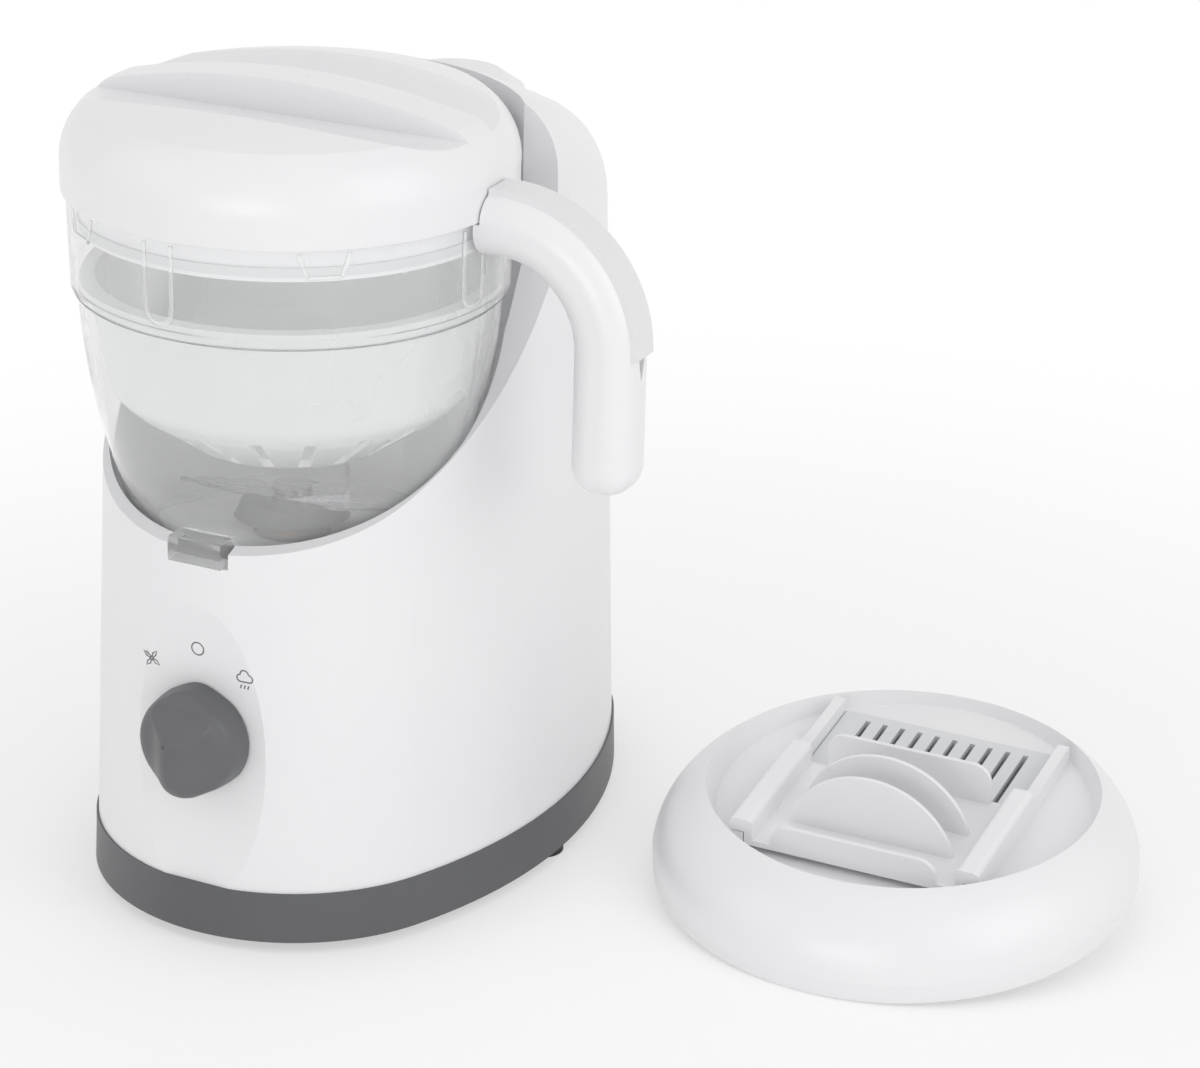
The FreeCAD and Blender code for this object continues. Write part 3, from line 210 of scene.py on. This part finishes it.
# One entry for each finish: colours are what the surface shows under plain light.
finishes = {
    "whitePlastic": {"skin": "moulded", "colour": (0.86, 0.86, 0.87), "shade": (0.84, 0.84, 0.855),
                     "rough": (0.28, 0.36), "grain": 2600, "bump": 0.02, "coat": 0.15},
    "handleInlay": {"skin": "moulded", "colour": (0.80, 0.80, 0.81), "shade": (0.77, 0.77, 0.785),
                    "rough": (0.36, 0.46), "grain": 1900, "bump": 0.05, "coat": 0.0},
    "greyPlastic": {"skin": "moulded", "colour": (0.125, 0.127, 0.132), "shade": (0.105, 0.107, 0.112),
                    "rough": (0.38, 0.50), "grain": 2200, "bump": 0.08, "coat": 0.0},
    "knobGrey": {"skin": "moulded", "colour": (0.14, 0.142, 0.147), "shade": (0.115, 0.117, 0.122),
                 "rough": (0.36, 0.46), "grain": 2400, "bump": 0.06, "coat": 0.0},
    "darkPlastic": {"skin": "moulded", "colour": (0.09, 0.092, 0.096), "shade": (0.07, 0.072, 0.076),
                    "rough": (0.34, 0.46), "grain": 2200, "bump": 0.06, "coat": 0.0},
    "clearPlastic": {"skin": "moulded", "colour": (0.994, 0.996, 0.996), "shade": (0.985, 0.988, 0.989),
                     "rough": (0.01, 0.035), "grain": 300, "bump": 0.008, "coat": 0.0, "transmission": 0.87,
                     "ior": 1.30, "shadow": (0.99, 0.992, 0.992), "clear": 0.0},
    # Darker grey clear for the seam bead: painted shade standing in for the dark refraction line at the seam.
    "seamPaintedShade": {"skin": "moulded", "colour": (0.62, 0.64, 0.65), "shade": (0.54, 0.56, 0.57),
                  "rough": (0.03, 0.08), "grain": 300, "bump": 0.01, "coat": 0.0, "transmission": 0.9,
                  "ior": 1.40, "shadow": (0.9, 0.9, 0.9), "clear": 0.3},
    "frostedPlastic": {"skin": "moulded", "colour": (0.965, 0.97, 0.972), "shade": (0.94, 0.948, 0.952),
                       "rough": (0.2, 0.34), "grain": 900, "bump": 0.03, "coat": 0.0, "transmission": 0.45,
                       "ior": 1.25, "shadow": (0.985, 0.987, 0.988), "clear": 0.3},
    "platePlastic": {"skin": "moulded", "colour": (0.74, 0.75, 0.76), "shade": (0.69, 0.70, 0.715),
                     "rough": (0.3, 0.42), "grain": 1800, "bump": 0.04, "coat": 0.1},
    "blackRubber": {"skin": "moulded", "colour": (0.05, 0.05, 0.052), "shade": (0.035, 0.035, 0.037),
                    "rough": (0.62, 0.8), "grain": 1500, "bump": 0.15, "coat": 0.0},
    "softSeal": {"skin": "moulded", "colour": (0.72, 0.73, 0.74), "shade": (0.66, 0.67, 0.68),
                 "rough": (0.5, 0.65), "grain": 1500, "bump": 0.05, "coat": 0.0},
    "steel": {"skin": "brushed", "colour": (0.66, 0.66, 0.67), "shade": (0.50, 0.50, 0.52),
              "rough": (0.2, 0.36), "grain": 900, "bump": 0.03, "metallic": 1.0},
    "bearingBronze": {"skin": "brushed", "colour": (0.62, 0.42, 0.22), "shade": (0.46, 0.30, 0.15),
                      "rough": (0.3, 0.48), "grain": 1100, "bump": 0.05, "metallic": 1.0},
    "copperWinding": {"skin": "brushed", "colour": (0.72, 0.36, 0.20), "shade": (0.45, 0.20, 0.10),
                      "rough": (0.25, 0.45), "grain": 1600, "bump": 0.3, "metallic": 1.0},
    "boilerMetal": {"skin": "brushed", "colour": (0.62, 0.62, 0.62), "shade": (0.50, 0.50, 0.51),
                    "rough": (0.34, 0.55), "grain": 500, "bump": 0.08, "metallic": 1.0},
    "board": {"skin": "moulded", "colour": (0.05, 0.16, 0.08), "shade": (0.035, 0.11, 0.055),
              "rough": (0.3, 0.45), "grain": 1200, "bump": 0.05, "coat": 0.3},
    "printedInk": {"skin": "moulded", "colour": (0.20, 0.20, 0.21), "shade": (0.16, 0.16, 0.17),
                   "rough": (0.45, 0.6), "grain": 3000, "bump": 0.02, "coat": 0.0},
}


def makeFinish(name, values):
    material = bpy.data.materials.new(name)
    material.use_nodes = True
    tree = material.node_tree
    surface = tree.nodes["Principled BSDF"]
    skin = addNode(tree, "ShaderNodeGroup", node_tree=skins[values["skin"]])
    skin.inputs["Colour"].default_value = (*values["colour"], 1)
    skin.inputs["Shade"].default_value = (*values["shade"], 1)
    skin.inputs["Roughness Low"].default_value = values["rough"][0]
    skin.inputs["Roughness High"].default_value = values["rough"][1]
    scaleName = "Grain Scale" if values["skin"] == "moulded" else "Streak Scale"
    skin.inputs[scaleName].default_value = values["grain"]
    bump = addNode(tree, "ShaderNodeBump")
    bump.inputs["Strength"].default_value = values["bump"]
    bump.inputs["Distance"].default_value = 0.2 * mm
    link(tree, skin.outputs["Height"], bump.inputs["Height"])
    link(tree, skin.outputs["Colour"], surface.inputs["Base Color"])
    link(tree, skin.outputs["Roughness"], surface.inputs["Roughness"])
    link(tree, bump.outputs["Normal"], surface.inputs["Normal"])
    surface.inputs["Metallic"].default_value = values.get("metallic", 0.0)
    surface.inputs["Coat Weight"].default_value = values.get("coat", 0.0)
    surface.inputs["Coat Roughness"].default_value = 0.2
    surface.inputs["IOR"].default_value = values.get("ior", 1.46)
    if "transmission" in values:
        surface.inputs["Transmission Weight"].default_value = values["transmission"]
        passLight(tree, surface, values)
    return material


# Light goes through a clear wall: shadow and bounced rays meet a tinted transparent surface.
# The finish's "clear" is the share of other rays that pass straight on where the wall faces them.
def passLight(tree, surface, values):
    output = tree.nodes["Material Output"]
    rays = addNode(tree, "ShaderNodeLightPath")
    through = addNode(tree, "ShaderNodeBsdfTransparent")
    through.inputs["Color"].default_value = (*values["shadow"], 1)
    either = addNode(tree, "ShaderNodeMath", operation="MAXIMUM")
    link(tree, rays.outputs["Is Shadow Ray"], either.inputs[0])
    link(tree, rays.outputs["Is Diffuse Ray"], either.inputs[1])
    edge = addNode(tree, "ShaderNodeLayerWeight")
    edge.inputs["Blend"].default_value = 0.35
    straight = addNode(tree, "ShaderNodeMath", operation="MULTIPLY_ADD")
    link(tree, edge.outputs["Facing"], straight.inputs[0])
    straight.inputs[1].default_value = -values["clear"]
    straight.inputs[2].default_value = values["clear"]
    share = addNode(tree, "ShaderNodeMath", operation="MAXIMUM")
    link(tree, either.outputs["Value"], share.inputs[0])
    link(tree, straight.outputs["Value"], share.inputs[1])
    choose = addNode(tree, "ShaderNodeMixShader")
    link(tree, share.outputs["Value"], choose.inputs["Fac"])
    link(tree, surface.outputs["BSDF"], choose.inputs[1])
    link(tree, through.outputs["BSDF"], choose.inputs[2])
    link(tree, choose.outputs["Shader"], output.inputs["Surface"])


materials = {name: makeFinish(name, values) for name, values in finishes.items()}

# Every node of the frame and the finish it wears.
nodeFinishes = {
    "whitePlastic": ["main_housing", "lid", "jug_handle", "boiler_cap", "grater_dish", "food_holder"],
    "handleInlay": ["handle_cover"],
    "greyPlastic": ["blade_hub", "base_tray"],
    "knobGrey": ["control_knob"],
    "clearPlastic": ["jug"],
    "frostedPlastic": ["steam_basket"],
    "darkPlastic": ["lower_coupling", "upper_coupling", "motor_end_cap", "rotary_switch",
                    "knob_shaft", "interlock_switch", "cord_inlet", "chassis_plate"],
    "blackRubber": ["rubber_feet", "shaft_seal"],
    "softSeal": ["lid_seal", "boiler_seal"],
    "steel": ["flat_blade", "upright_blade", "blade_spindle", "spindle_nut", "motor_can", "motor_rotor",
              "base_screws", "boiler_bracket", "thermostat"],
    "platePlastic": ["grater_plate"],
    "bearingBronze": ["jug_bush", "lower_bearing", "upper_bearing", "steam_nozzle"],
    "copperWinding": ["motor_stator"],
    "boilerMetal": ["boiler_tank", "heating_element"],
    "board": ["control_board"],
}
for finishName, members in nodeFinishes.items():
    for member in members:
        nodes[member].data.materials.clear()
        nodes[member].data.materials.append(materials[finishName])
bare = set(nodes) - {member for members in nodeFinishes.values() for member in members}
print("finishes set, nodes left without one:", sorted(bare))


# Pictograms beside the knob, on the hollow of the front panel.
panelShape = {"axisY": -434.57, "axisZ": 80.0, "radius": 322.0, "proud": 0.12}
pictograms = {"lineWidth": 0.55, "offCentre": (-0.6, 106.5), "offRadius": 2.3,
              "bladeCentre": (-19.0, 99.0), "steamCentre": (17.0, 99.0)}


def panelPoint(x, z):
    drop = math.sqrt(panelShape["radius"] ** 2 - (z - panelShape["axisZ"]) ** 2)
    return Vector((x, panelShape["axisY"] + drop, z)) * mm


# A printed line: a flat tube along the points, pressed against the panel.
def inkLine(points, closed=False, width=None):
    width = width or pictograms["lineWidth"]
    deselectAll()
    bpy.ops.curve.primitive_nurbs_path_add()
    path = bpy.context.object
    curve = path.data
    curve.splines.clear()
    spline = curve.splines.new("POLY")
    spline.points.add(len(points) - 1)
    for spot, (x, z) in zip(spline.points, points):
        place = panelPoint(x, z)
        spot.co = (*place, 1)
    spline.use_cyclic_u = closed
    curve.dimensions = "3D"
    curve.bevel_depth = width / 2 * mm
    curve.bevel_resolution = 2
    curve.use_fill_caps = True
    bpy.ops.object.convert(target="MESH")
    line = bpy.context.object
    for vertex in line.data.vertices:
        x, y, z = vertex.co / mm
        flat = panelPoint(x, z).y / mm
        vertex.co.y = (flat + max(-0.6, min(0.6, (y - flat) / width)) * panelShape["proud"]) * mm
    return line


def joinPieces(parts):
    deselectAll()
    for part in parts:
        part.select_set(True)
    bpy.context.view_layer.objects.active = parts[0]
    if len(parts) > 1:
        bpy.ops.object.join()
    return bpy.context.object


def ringPoints(centre, radius, count=40, start=0.0, sweep=360.0):
    whole = abs(sweep) >= 360
    steps = count if whole else count - 1
    spots = []
    for index in range(count):
        angle = math.radians(start + sweep * index / steps)
        spots.append((centre[0] + radius * math.cos(angle), centre[1] + radius * math.sin(angle)))
    return spots


def turnedPoints(centre, points, angle):
    angle = math.radians(angle)
    spots = []
    for x, z in points:
        spots.append((centre[0] + x * math.cos(angle) - z * math.sin(angle),
                      centre[1] + x * math.sin(angle) + z * math.cos(angle)))
    return spots


def makePictograms():
    ink = materials["printedInk"]
    off = inkLine(ringPoints(pictograms["offCentre"], pictograms["offRadius"]), closed=True)
    finishPiece(off, "offMark", "base", ink)
    centre = pictograms["bladeCentre"]
    wing = [(0.4, 0.3), (1.6, 1.3), (3.4, 1.2), (2.2, 0.2), (0.4, -0.2)]
    parts = [inkLine(ringPoints(centre, 0.7, 20), closed=True)]
    for angle in (35, 125, 215, 305):
        parts.append(inkLine(turnedPoints(centre, wing, angle), closed=True))
    finishPiece(joinPieces(parts), "blendMark", "base", ink)
    centre = pictograms["steamCentre"]
    cloud = []
    for spot, radius, start, sweep in (((-1.6, 0.2), 1.3, 270, -180), ((0.0, 1.6), 1.6, 170, -160),
                                       ((1.8, 0.3), 1.3, 80, -170)):
        cloud += ringPoints((centre[0] + spot[0], centre[1] + spot[1]), radius, 12, start, sweep)
    parts = [inkLine(cloud, closed=True)]
    for x in (-1.2, 0.2, 1.6):
        parts.append(inkLine([(centre[0] + x, centre[1] - 2.2), (centre[0] + x - 0.5, centre[1] - 3.6)]))
    finishPiece(joinPieces(parts), "steamMark", "base", ink)


makePictograms()
print("pictograms made")


# Control knob: a domed disc with an upright grip, a thumb hollow at its top end and a pointer dot.
knobShape = {"axisX": 0.0, "axisZ": 75.0, "backY": -113.4, "radius": 18.0, "edgeDepth": 9.0, "domeRise": 4.4,
             "ridgeRise": 5.8, "ridgeHalf": 8.6, "rings": 30, "segments": 128, "scoopFrom": 4.2, "scoopSlope": 0.8,
             "scoopSag": 1.6, "scoopLength": 10.0, "dotPlace": (-3.4, 2.2), "dotRadius": 0.7, "dotFlat": 0.35,
             "swells": ((90, 13, 0.45), (62, 12, -0.35), (118, 12, -0.35)), "sides": ((-2.0, 1.012), (-4.0, 1.02))}


def knobDepth(x, z):
    shape = knobShape
    out = min(1.0, math.hypot(x, z) / shape["radius"])
    dome = shape["edgeDepth"] + shape["domeRise"] * math.sqrt(1 - out ** 5)
    ridge = math.exp(-(abs(x) / shape["ridgeHalf"]) ** 3.2) * math.sqrt(1 - out ** 7)
    depth = dome + shape["ridgeRise"] * ridge
    past = z - shape["scoopFrom"]
    if past > 0:
        top = shape["edgeDepth"] + shape["domeRise"] + shape["ridgeRise"]
        sag = shape["scoopSag"] * math.sin(min(1.0, past / shape["scoopLength"]) * math.pi)
        depth = min(depth, top - past * shape["scoopSlope"] - sag)
    return depth


def makeKnob():
    shape = knobShape
    deselectAll()
    bpy.ops.mesh.primitive_circle_add(vertices=shape["segments"], radius=shape["radius"] * mm, fill_type="NGON")
    knob = bpy.context.object
    bpy.ops.object.mode_set(mode="EDIT")
    bpy.ops.mesh.select_mode(type="FACE")
    bpy.ops.mesh.select_all(action="SELECT")
    step = shape["radius"] / (shape["rings"] + 0.5) * mm
    for ring in range(shape["rings"]):
        bpy.ops.mesh.inset(thickness=step, depth=0)
    bpy.ops.mesh.poke()
    bpy.ops.object.mode_set(mode="OBJECT")
    for vertex in knob.data.vertices:
        x, z = vertex.co.x / mm, vertex.co.y / mm
        angle = abs(math.degrees(math.atan2(z, x)))
        swell = 0.0
        for middle, width, rise in shape["swells"]:
            swell += rise * math.exp(-((angle - middle) / width) ** 2)
        out = math.hypot(x, z) / shape["radius"]
        grow = 1 + swell * out ** 6 / shape["radius"]
        vertex.co = (x * grow * mm, z * grow * mm, knobDepth(x, z) * mm)
    activate(knob)
    bpy.ops.object.mode_set(mode="EDIT")
    bpy.ops.mesh.select_mode(type="EDGE")
    bpy.ops.mesh.select_all(action="DESELECT")
    bpy.ops.mesh.select_non_manifold()
    for depth, spread in shape["sides"]:
        bpy.ops.mesh.extrude_region_move(TRANSFORM_OT_translate={"value": (0, 0, depth * mm)})
        bpy.ops.transform.resize(value=(spread, spread, 1), center_override=(0, 0, 0))
    bpy.ops.mesh.extrude_region_move(TRANSFORM_OT_translate={"value": (0, 0, -mm)})
    bpy.ops.object.mode_set(mode="OBJECT")
    for vertex in knob.data.vertices:
        if vertex.select:
            vertex.co.z = 0
    bpy.ops.object.mode_set(mode="EDIT")
    bpy.ops.mesh.edge_face_add()
    bpy.ops.mesh.select_all(action="SELECT")
    bpy.ops.mesh.normals_make_consistent(inside=False)
    bpy.ops.object.mode_set(mode="OBJECT")
    knob.matrix_world = (Matrix.Translation(Vector((shape["axisX"], shape["backY"], shape["axisZ"])) * mm)
                         @ Matrix.Rotation(math.radians(90), 4, "X"))
    finishPiece(knob, "gripKnob", "knob", materials["knobGrey"], smoothAngle=50)
    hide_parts("control_knob")
    x, z = shape["dotPlace"]
    deselectAll()
    bpy.ops.mesh.primitive_uv_sphere_add(segments=24, ring_count=12, radius=shape["dotRadius"] * mm)
    dot = bpy.context.object
    dot.scale = (1, shape["dotFlat"], 1)
    dot.location = Vector((x, shape["backY"] - knobDepth(x, z), shape["axisZ"] + z)) * mm
    finishPiece(dot, "pointerDot", "knob", materials["darkPlastic"])


makeKnob()
print("knob made")


# Details moulded on the clear jug: the bead at its seam, tinted darker as painted shade for the dark line the seam
# shows, locking tabs and ribs on the band.
jugDetails = {"beadRadius": 72.5, "beadHeight": 217.7, "beadThick": 0.55, "ribRadius": 74.2, "ribThick": 0.8,
              "ribHalfWidth": 5.2, "ribLow": 224.0, "ribHigh": 249.5, "ribAngles": (-95, -8, 84, 172),
              "tabAngles": (-126, -52, 54, 128), "tabHalfWidth": 8.0, "tabLow": 242.0, "tabHigh": 250.0,
              "tabSlope": 2.6, "tabThick": 0.78, "beadFlat": 0.7}


def onBand(angle, across, height, radius):
    turn = math.radians(angle) + across / radius
    return jugAxis + Vector((radius * math.cos(turn), radius * math.sin(turn), height)) * mm


# A round bar bent along the points, as a mesh.
def bentBar(points, thick, closed=False, order=3):
    deselectAll()
    bpy.ops.curve.primitive_nurbs_path_add()
    curve = bpy.context.object.data
    curve.splines.clear()
    spline = curve.splines.new("NURBS")
    spline.points.add(len(points) - 1)
    for spot, place in zip(spline.points, points):
        spot.co = (*place, 1)
    spline.use_cyclic_u = closed
    spline.order_u = order
    spline.use_endpoint_u = not closed
    spline.resolution_u = 6
    curve.dimensions = "3D"
    curve.bevel_depth = thick * mm
    curve.bevel_resolution = 3
    curve.use_fill_caps = True
    bpy.ops.object.convert(target="MESH")
    bar = bpy.context.object
    recalculate(bar)
    return bar


def makeJugDetails(setup):
    clear = materials["clearPlastic"]
    deselectAll()
    bpy.ops.mesh.primitive_torus_add(location=jugAxis + Vector((0, 0, setup["beadHeight"])) * mm,
                                     major_radius=setup["beadRadius"] * mm, minor_radius=setup["beadThick"] * mm,
                                     major_segments=160, minor_segments=12)
    bead = bpy.context.object
    bead.scale = (1, 1, setup["beadFlat"])
    # The bead wears the darker grey clear: painted shade for the seam's dark line.
    finishPiece(bead, "seamBead", "jug_set", materials["seamPaintedShade"], smoothAngle=80)
    ribs = []
    half = setup["ribHalfWidth"]
    low, high = setup["ribLow"], setup["ribHigh"]
    for angle in setup["ribAngles"]:
        path = [(-half, high), (-half, (low + high) / 2), (-half, low + 3), (-half + 1, low), (0, low - 1.5),
                (half - 1, low), (half, low + 3), (half, (low + high) / 2), (half, high)]
        ribs.append(bentBar([onBand(angle, across, height, setup["ribRadius"]) for across, height in path],
                            setup["ribThick"]))
    finishPiece(joinPieces(ribs), "bandRibs", "jug_set", clear, smoothAngle=60)
    tabs = []
    for angle in setup["tabAngles"]:
        wide, slope = setup["tabHalfWidth"], setup["tabSlope"]
        path = [(-wide, setup["tabHigh"]), (-wide, setup["tabHigh"] - 1), (-wide + slope, setup["tabLow"]),
                (-wide + slope, setup["tabLow"]), (wide - slope, setup["tabLow"]), (wide - slope, setup["tabLow"]),
                (wide, setup["tabHigh"] - 1), (wide, setup["tabHigh"])]
        tabs.append(bentBar([onBand(angle, across, height, setup["ribRadius"]) for across, height in path],
                            setup["tabThick"]))
    finishPiece(joinPieces(tabs), "lockingTabs", "jug_set", clear, smoothAngle=60)


makeJugDetails(jugDetails)
print("jug details made")


# A small steam vent in the lid's grip and a darker grey wedge at the end of the handle's inlay, painted shade
# standing in for the shaded notch there.
smallMarks = {"ventPlace": (6.0, -51.0, 287.8), "ventRadius": 1.2, "ventThick": 0.35, "ventFlat": 0.4,
              "notchPlace": (128.2, -51.0, 208.0), "notchSize": (1.6, 6.0, 9.0), "notchTip": 0.15,
              "notchRound": 0.5}


def makeSmallMarks(setup):
    deselectAll()
    bpy.ops.mesh.primitive_torus_add(location=Vector(setup["ventPlace"]) * mm,
                                     major_radius=setup["ventRadius"] * mm, minor_radius=setup["ventThick"] * mm,
                                     major_segments=40, minor_segments=10)
    vent = bpy.context.object
    vent.scale = (1, 1, setup["ventFlat"])
    finishPiece(vent, "lidVent", "lid_cover", materials["handleInlay"], smoothAngle=80)
    deselectAll()
    bpy.ops.mesh.primitive_cube_add(size=mm, location=Vector(setup["notchPlace"]) * mm)
    notch = bpy.context.object
    notch.scale = setup["notchSize"]
    bpy.ops.object.transform_apply(location=False, rotation=False, scale=True)
    bpy.ops.object.mode_set(mode="EDIT")
    bpy.ops.mesh.select_mode(type="FACE")
    bpy.ops.mesh.select_all(action="DESELECT")
    bpy.ops.object.mode_set(mode="OBJECT")
    for face in notch.data.polygons:
        face.select = face.normal.z < -0.9
    bpy.ops.object.mode_set(mode="EDIT")
    bpy.ops.transform.resize(value=(1, setup["notchTip"], 1), center_override=notch.location)
    bpy.ops.object.mode_set(mode="OBJECT")
    applyModifier(notch, "BEVEL", width=setup["notchRound"] * mm, segments=3)
    # Darker grey than the inlay: painted shade for the notch's slot.
    finishPiece(notch, "inlayNotchShade", "jug_set", materials["softSeal"])


makeSmallMarks(smallMarks)
print("small marks made")


# The raised seat round the boiler's filler neck, which closes the casing behind the cap.
fillerBoss = {"place": (0.0, 65.0), "low": 232.5, "high": 249.6, "outer": 26.4, "inner": 15.4, "round": 0.8}


def makeFillerBoss(setup):
    deselectAll()
    bpy.ops.mesh.primitive_circle_add(vertices=96, radius=setup["outer"] * mm, fill_type="NOTHING")
    boss = bpy.context.object
    height = (setup["high"] - setup["low"]) * mm
    shrink = setup["inner"] / setup["outer"]
    bpy.ops.object.mode_set(mode="EDIT")
    bpy.ops.mesh.select_mode(type="EDGE")
    bpy.ops.mesh.select_all(action="SELECT")
    bpy.ops.mesh.extrude_region_move(TRANSFORM_OT_translate={"value": (0, 0, height)})
    bpy.ops.mesh.extrude_region_move(TRANSFORM_OT_translate={"value": (0, 0, 0)})
    bpy.ops.transform.resize(value=(shrink, shrink, 1), center_override=(0, 0, height))
    bpy.ops.mesh.extrude_region_move(TRANSFORM_OT_translate={"value": (0, 0, -height)})
    bpy.ops.mesh.select_all(action="DESELECT")
    bpy.ops.mesh.select_non_manifold()
    bpy.ops.mesh.bridge_edge_loops()
    bpy.ops.object.mode_set(mode="OBJECT")
    recalculate(boss)
    applyModifier(boss, "BEVEL", width=setup["round"] * mm, segments=3, limit_method="ANGLE")
    boss.location = Vector((*setup["place"], setup["low"])) * mm
    finishPiece(boss, "fillerBoss", "base", materials["whitePlastic"])


makeFillerBoss(fillerBoss)
print("filler boss made")


# Floor and light
floorSetup = {"size": 6.0, "fadeNear": 0.16, "fadeFar": 0.62, "glow": 0.5}


def makeFloor(setup):
    deselectAll()
    bpy.ops.mesh.primitive_plane_add(size=setup["size"], location=(0.1, 0, 0))
    floor = bpy.context.object
    floor.name = "studioFloor"
    material = bpy.data.materials.new("paleFloor")
    material.use_nodes = True
    tree = material.node_tree
    surface = tree.nodes["Principled BSDF"]
    output = tree.nodes["Material Output"]
    surface.inputs["Base Color"].default_value = (0.96, 0.96, 0.96, 1)
    surface.inputs["Roughness"].default_value = 0.6
    surface.inputs["Specular IOR Level"].default_value = 0.2
    glow = addNode(tree, "ShaderNodeEmission")
    glow.inputs["Color"].default_value = (1, 1, 1, 1)
    rays = addNode(tree, "ShaderNodeLightPath")
    coordinates = addNode(tree, "ShaderNodeTexCoord")
    distance = addNode(tree, "ShaderNodeVectorMath", operation="LENGTH")
    fade = addNode(tree, "ShaderNodeMapRange", interpolation_type="SMOOTHSTEP")
    fade.inputs["From Min"].default_value = setup["fadeNear"]
    fade.inputs["From Max"].default_value = setup["fadeFar"]
    fade.inputs["To Min"].default_value = setup["glow"]
    seen = addNode(tree, "ShaderNodeMath", operation="MAXIMUM")
    seenToo = addNode(tree, "ShaderNodeMath", operation="MAXIMUM")
    both = addNode(tree, "ShaderNodeMath", operation="MULTIPLY")
    choose = addNode(tree, "ShaderNodeMixShader")
    link(tree, coordinates.outputs["Object"], distance.inputs[0])
    link(tree, distance.outputs["Value"], fade.inputs["Value"])
    link(tree, rays.outputs["Is Camera Ray"], seen.inputs[0])
    link(tree, rays.outputs["Is Glossy Ray"], seen.inputs[1])
    link(tree, seen.outputs["Value"], seenToo.inputs[0])
    link(tree, rays.outputs["Is Transmission Ray"], seenToo.inputs[1])
    link(tree, seenToo.outputs["Value"], both.inputs[0])
    link(tree, fade.outputs["Result"], both.inputs[1])
    link(tree, both.outputs["Value"], choose.inputs["Fac"])
    link(tree, surface.outputs["BSDF"], choose.inputs[1])
    link(tree, glow.outputs["Emission"], choose.inputs[2])
    link(tree, choose.outputs["Shader"], output.inputs["Surface"])
    floor.data.materials.append(material)


lamps = {
    "leftSoftbox": {"place": (-0.95, -0.75, 0.95), "aim": (0.05, -0.03, 0.12), "size": (1.0, 1.1), "power": 1.6},
    "topSoftbox": {"place": (0.15, 0.15, 1.35), "aim": (0.08, 0.0, 0.1), "size": (1.2, 1.2), "power": 1.6},
    "rightSoftbox": {"place": (1.15, -0.25, 0.75), "aim": (0.08, 0.0, 0.12), "size": (0.8, 1.0), "power": 3.6},
    "frontSoftbox": {"place": (0.15, -1.25, 0.34), "aim": (0.0, -0.05, 0.19), "size": (0.7, 0.4), "power": 2.2},
}


def makeLamps():
    for name, setup in lamps.items():
        deselectAll()
        bpy.ops.object.light_add(type="AREA", location=setup["place"])
        lamp = bpy.context.object
        lamp.name = name
        lamp.data.shape = "RECTANGLE"
        lamp.data.size, lamp.data.size_y = setup["size"]
        lamp.data.energy = setup["power"]
        lamp.rotation_mode = "QUATERNION"
        lamp.rotation_quaternion = (Vector(setup["aim"]) - Vector(setup["place"])).to_track_quat("-Z", "Y")


worldSetup = {"light": 0.64}


def makeWorld(setup):
    world = bpy.data.worlds.new("studioWorld")
    scene.world = world
    world.use_nodes = True
    tree = world.node_tree
    tree.nodes.clear()
    output = addNode(tree, "ShaderNodeOutputWorld")
    shown = addNode(tree, "ShaderNodeBackground")
    shown.inputs["Color"].default_value = (1, 1, 1, 1)
    shown.inputs["Strength"].default_value = 1.0
    lit = addNode(tree, "ShaderNodeBackground")
    lit.inputs["Color"].default_value = (1, 1, 1, 1)
    lit.inputs["Strength"].default_value = setup["light"]
    rays = addNode(tree, "ShaderNodeLightPath")
    seen = addNode(tree, "ShaderNodeMath", operation="MAXIMUM")
    seenToo = addNode(tree, "ShaderNodeMath", operation="MAXIMUM")
    choose = addNode(tree, "ShaderNodeMixShader")
    link(tree, rays.outputs["Is Camera Ray"], seen.inputs[0])
    link(tree, rays.outputs["Is Glossy Ray"], seen.inputs[1])
    link(tree, seen.outputs["Value"], seenToo.inputs[0])
    link(tree, rays.outputs["Is Transmission Ray"], seenToo.inputs[1])
    link(tree, seenToo.outputs["Value"], choose.inputs["Fac"])
    link(tree, lit.outputs["Background"], choose.inputs[1])
    link(tree, shown.outputs["Background"], choose.inputs[2])
    link(tree, choose.outputs["Shader"], output.inputs["Surface"])


makeFloor(floorSetup)
makeLamps()
makeWorld(worldSetup)
print("floor and light made")

deselectAll()
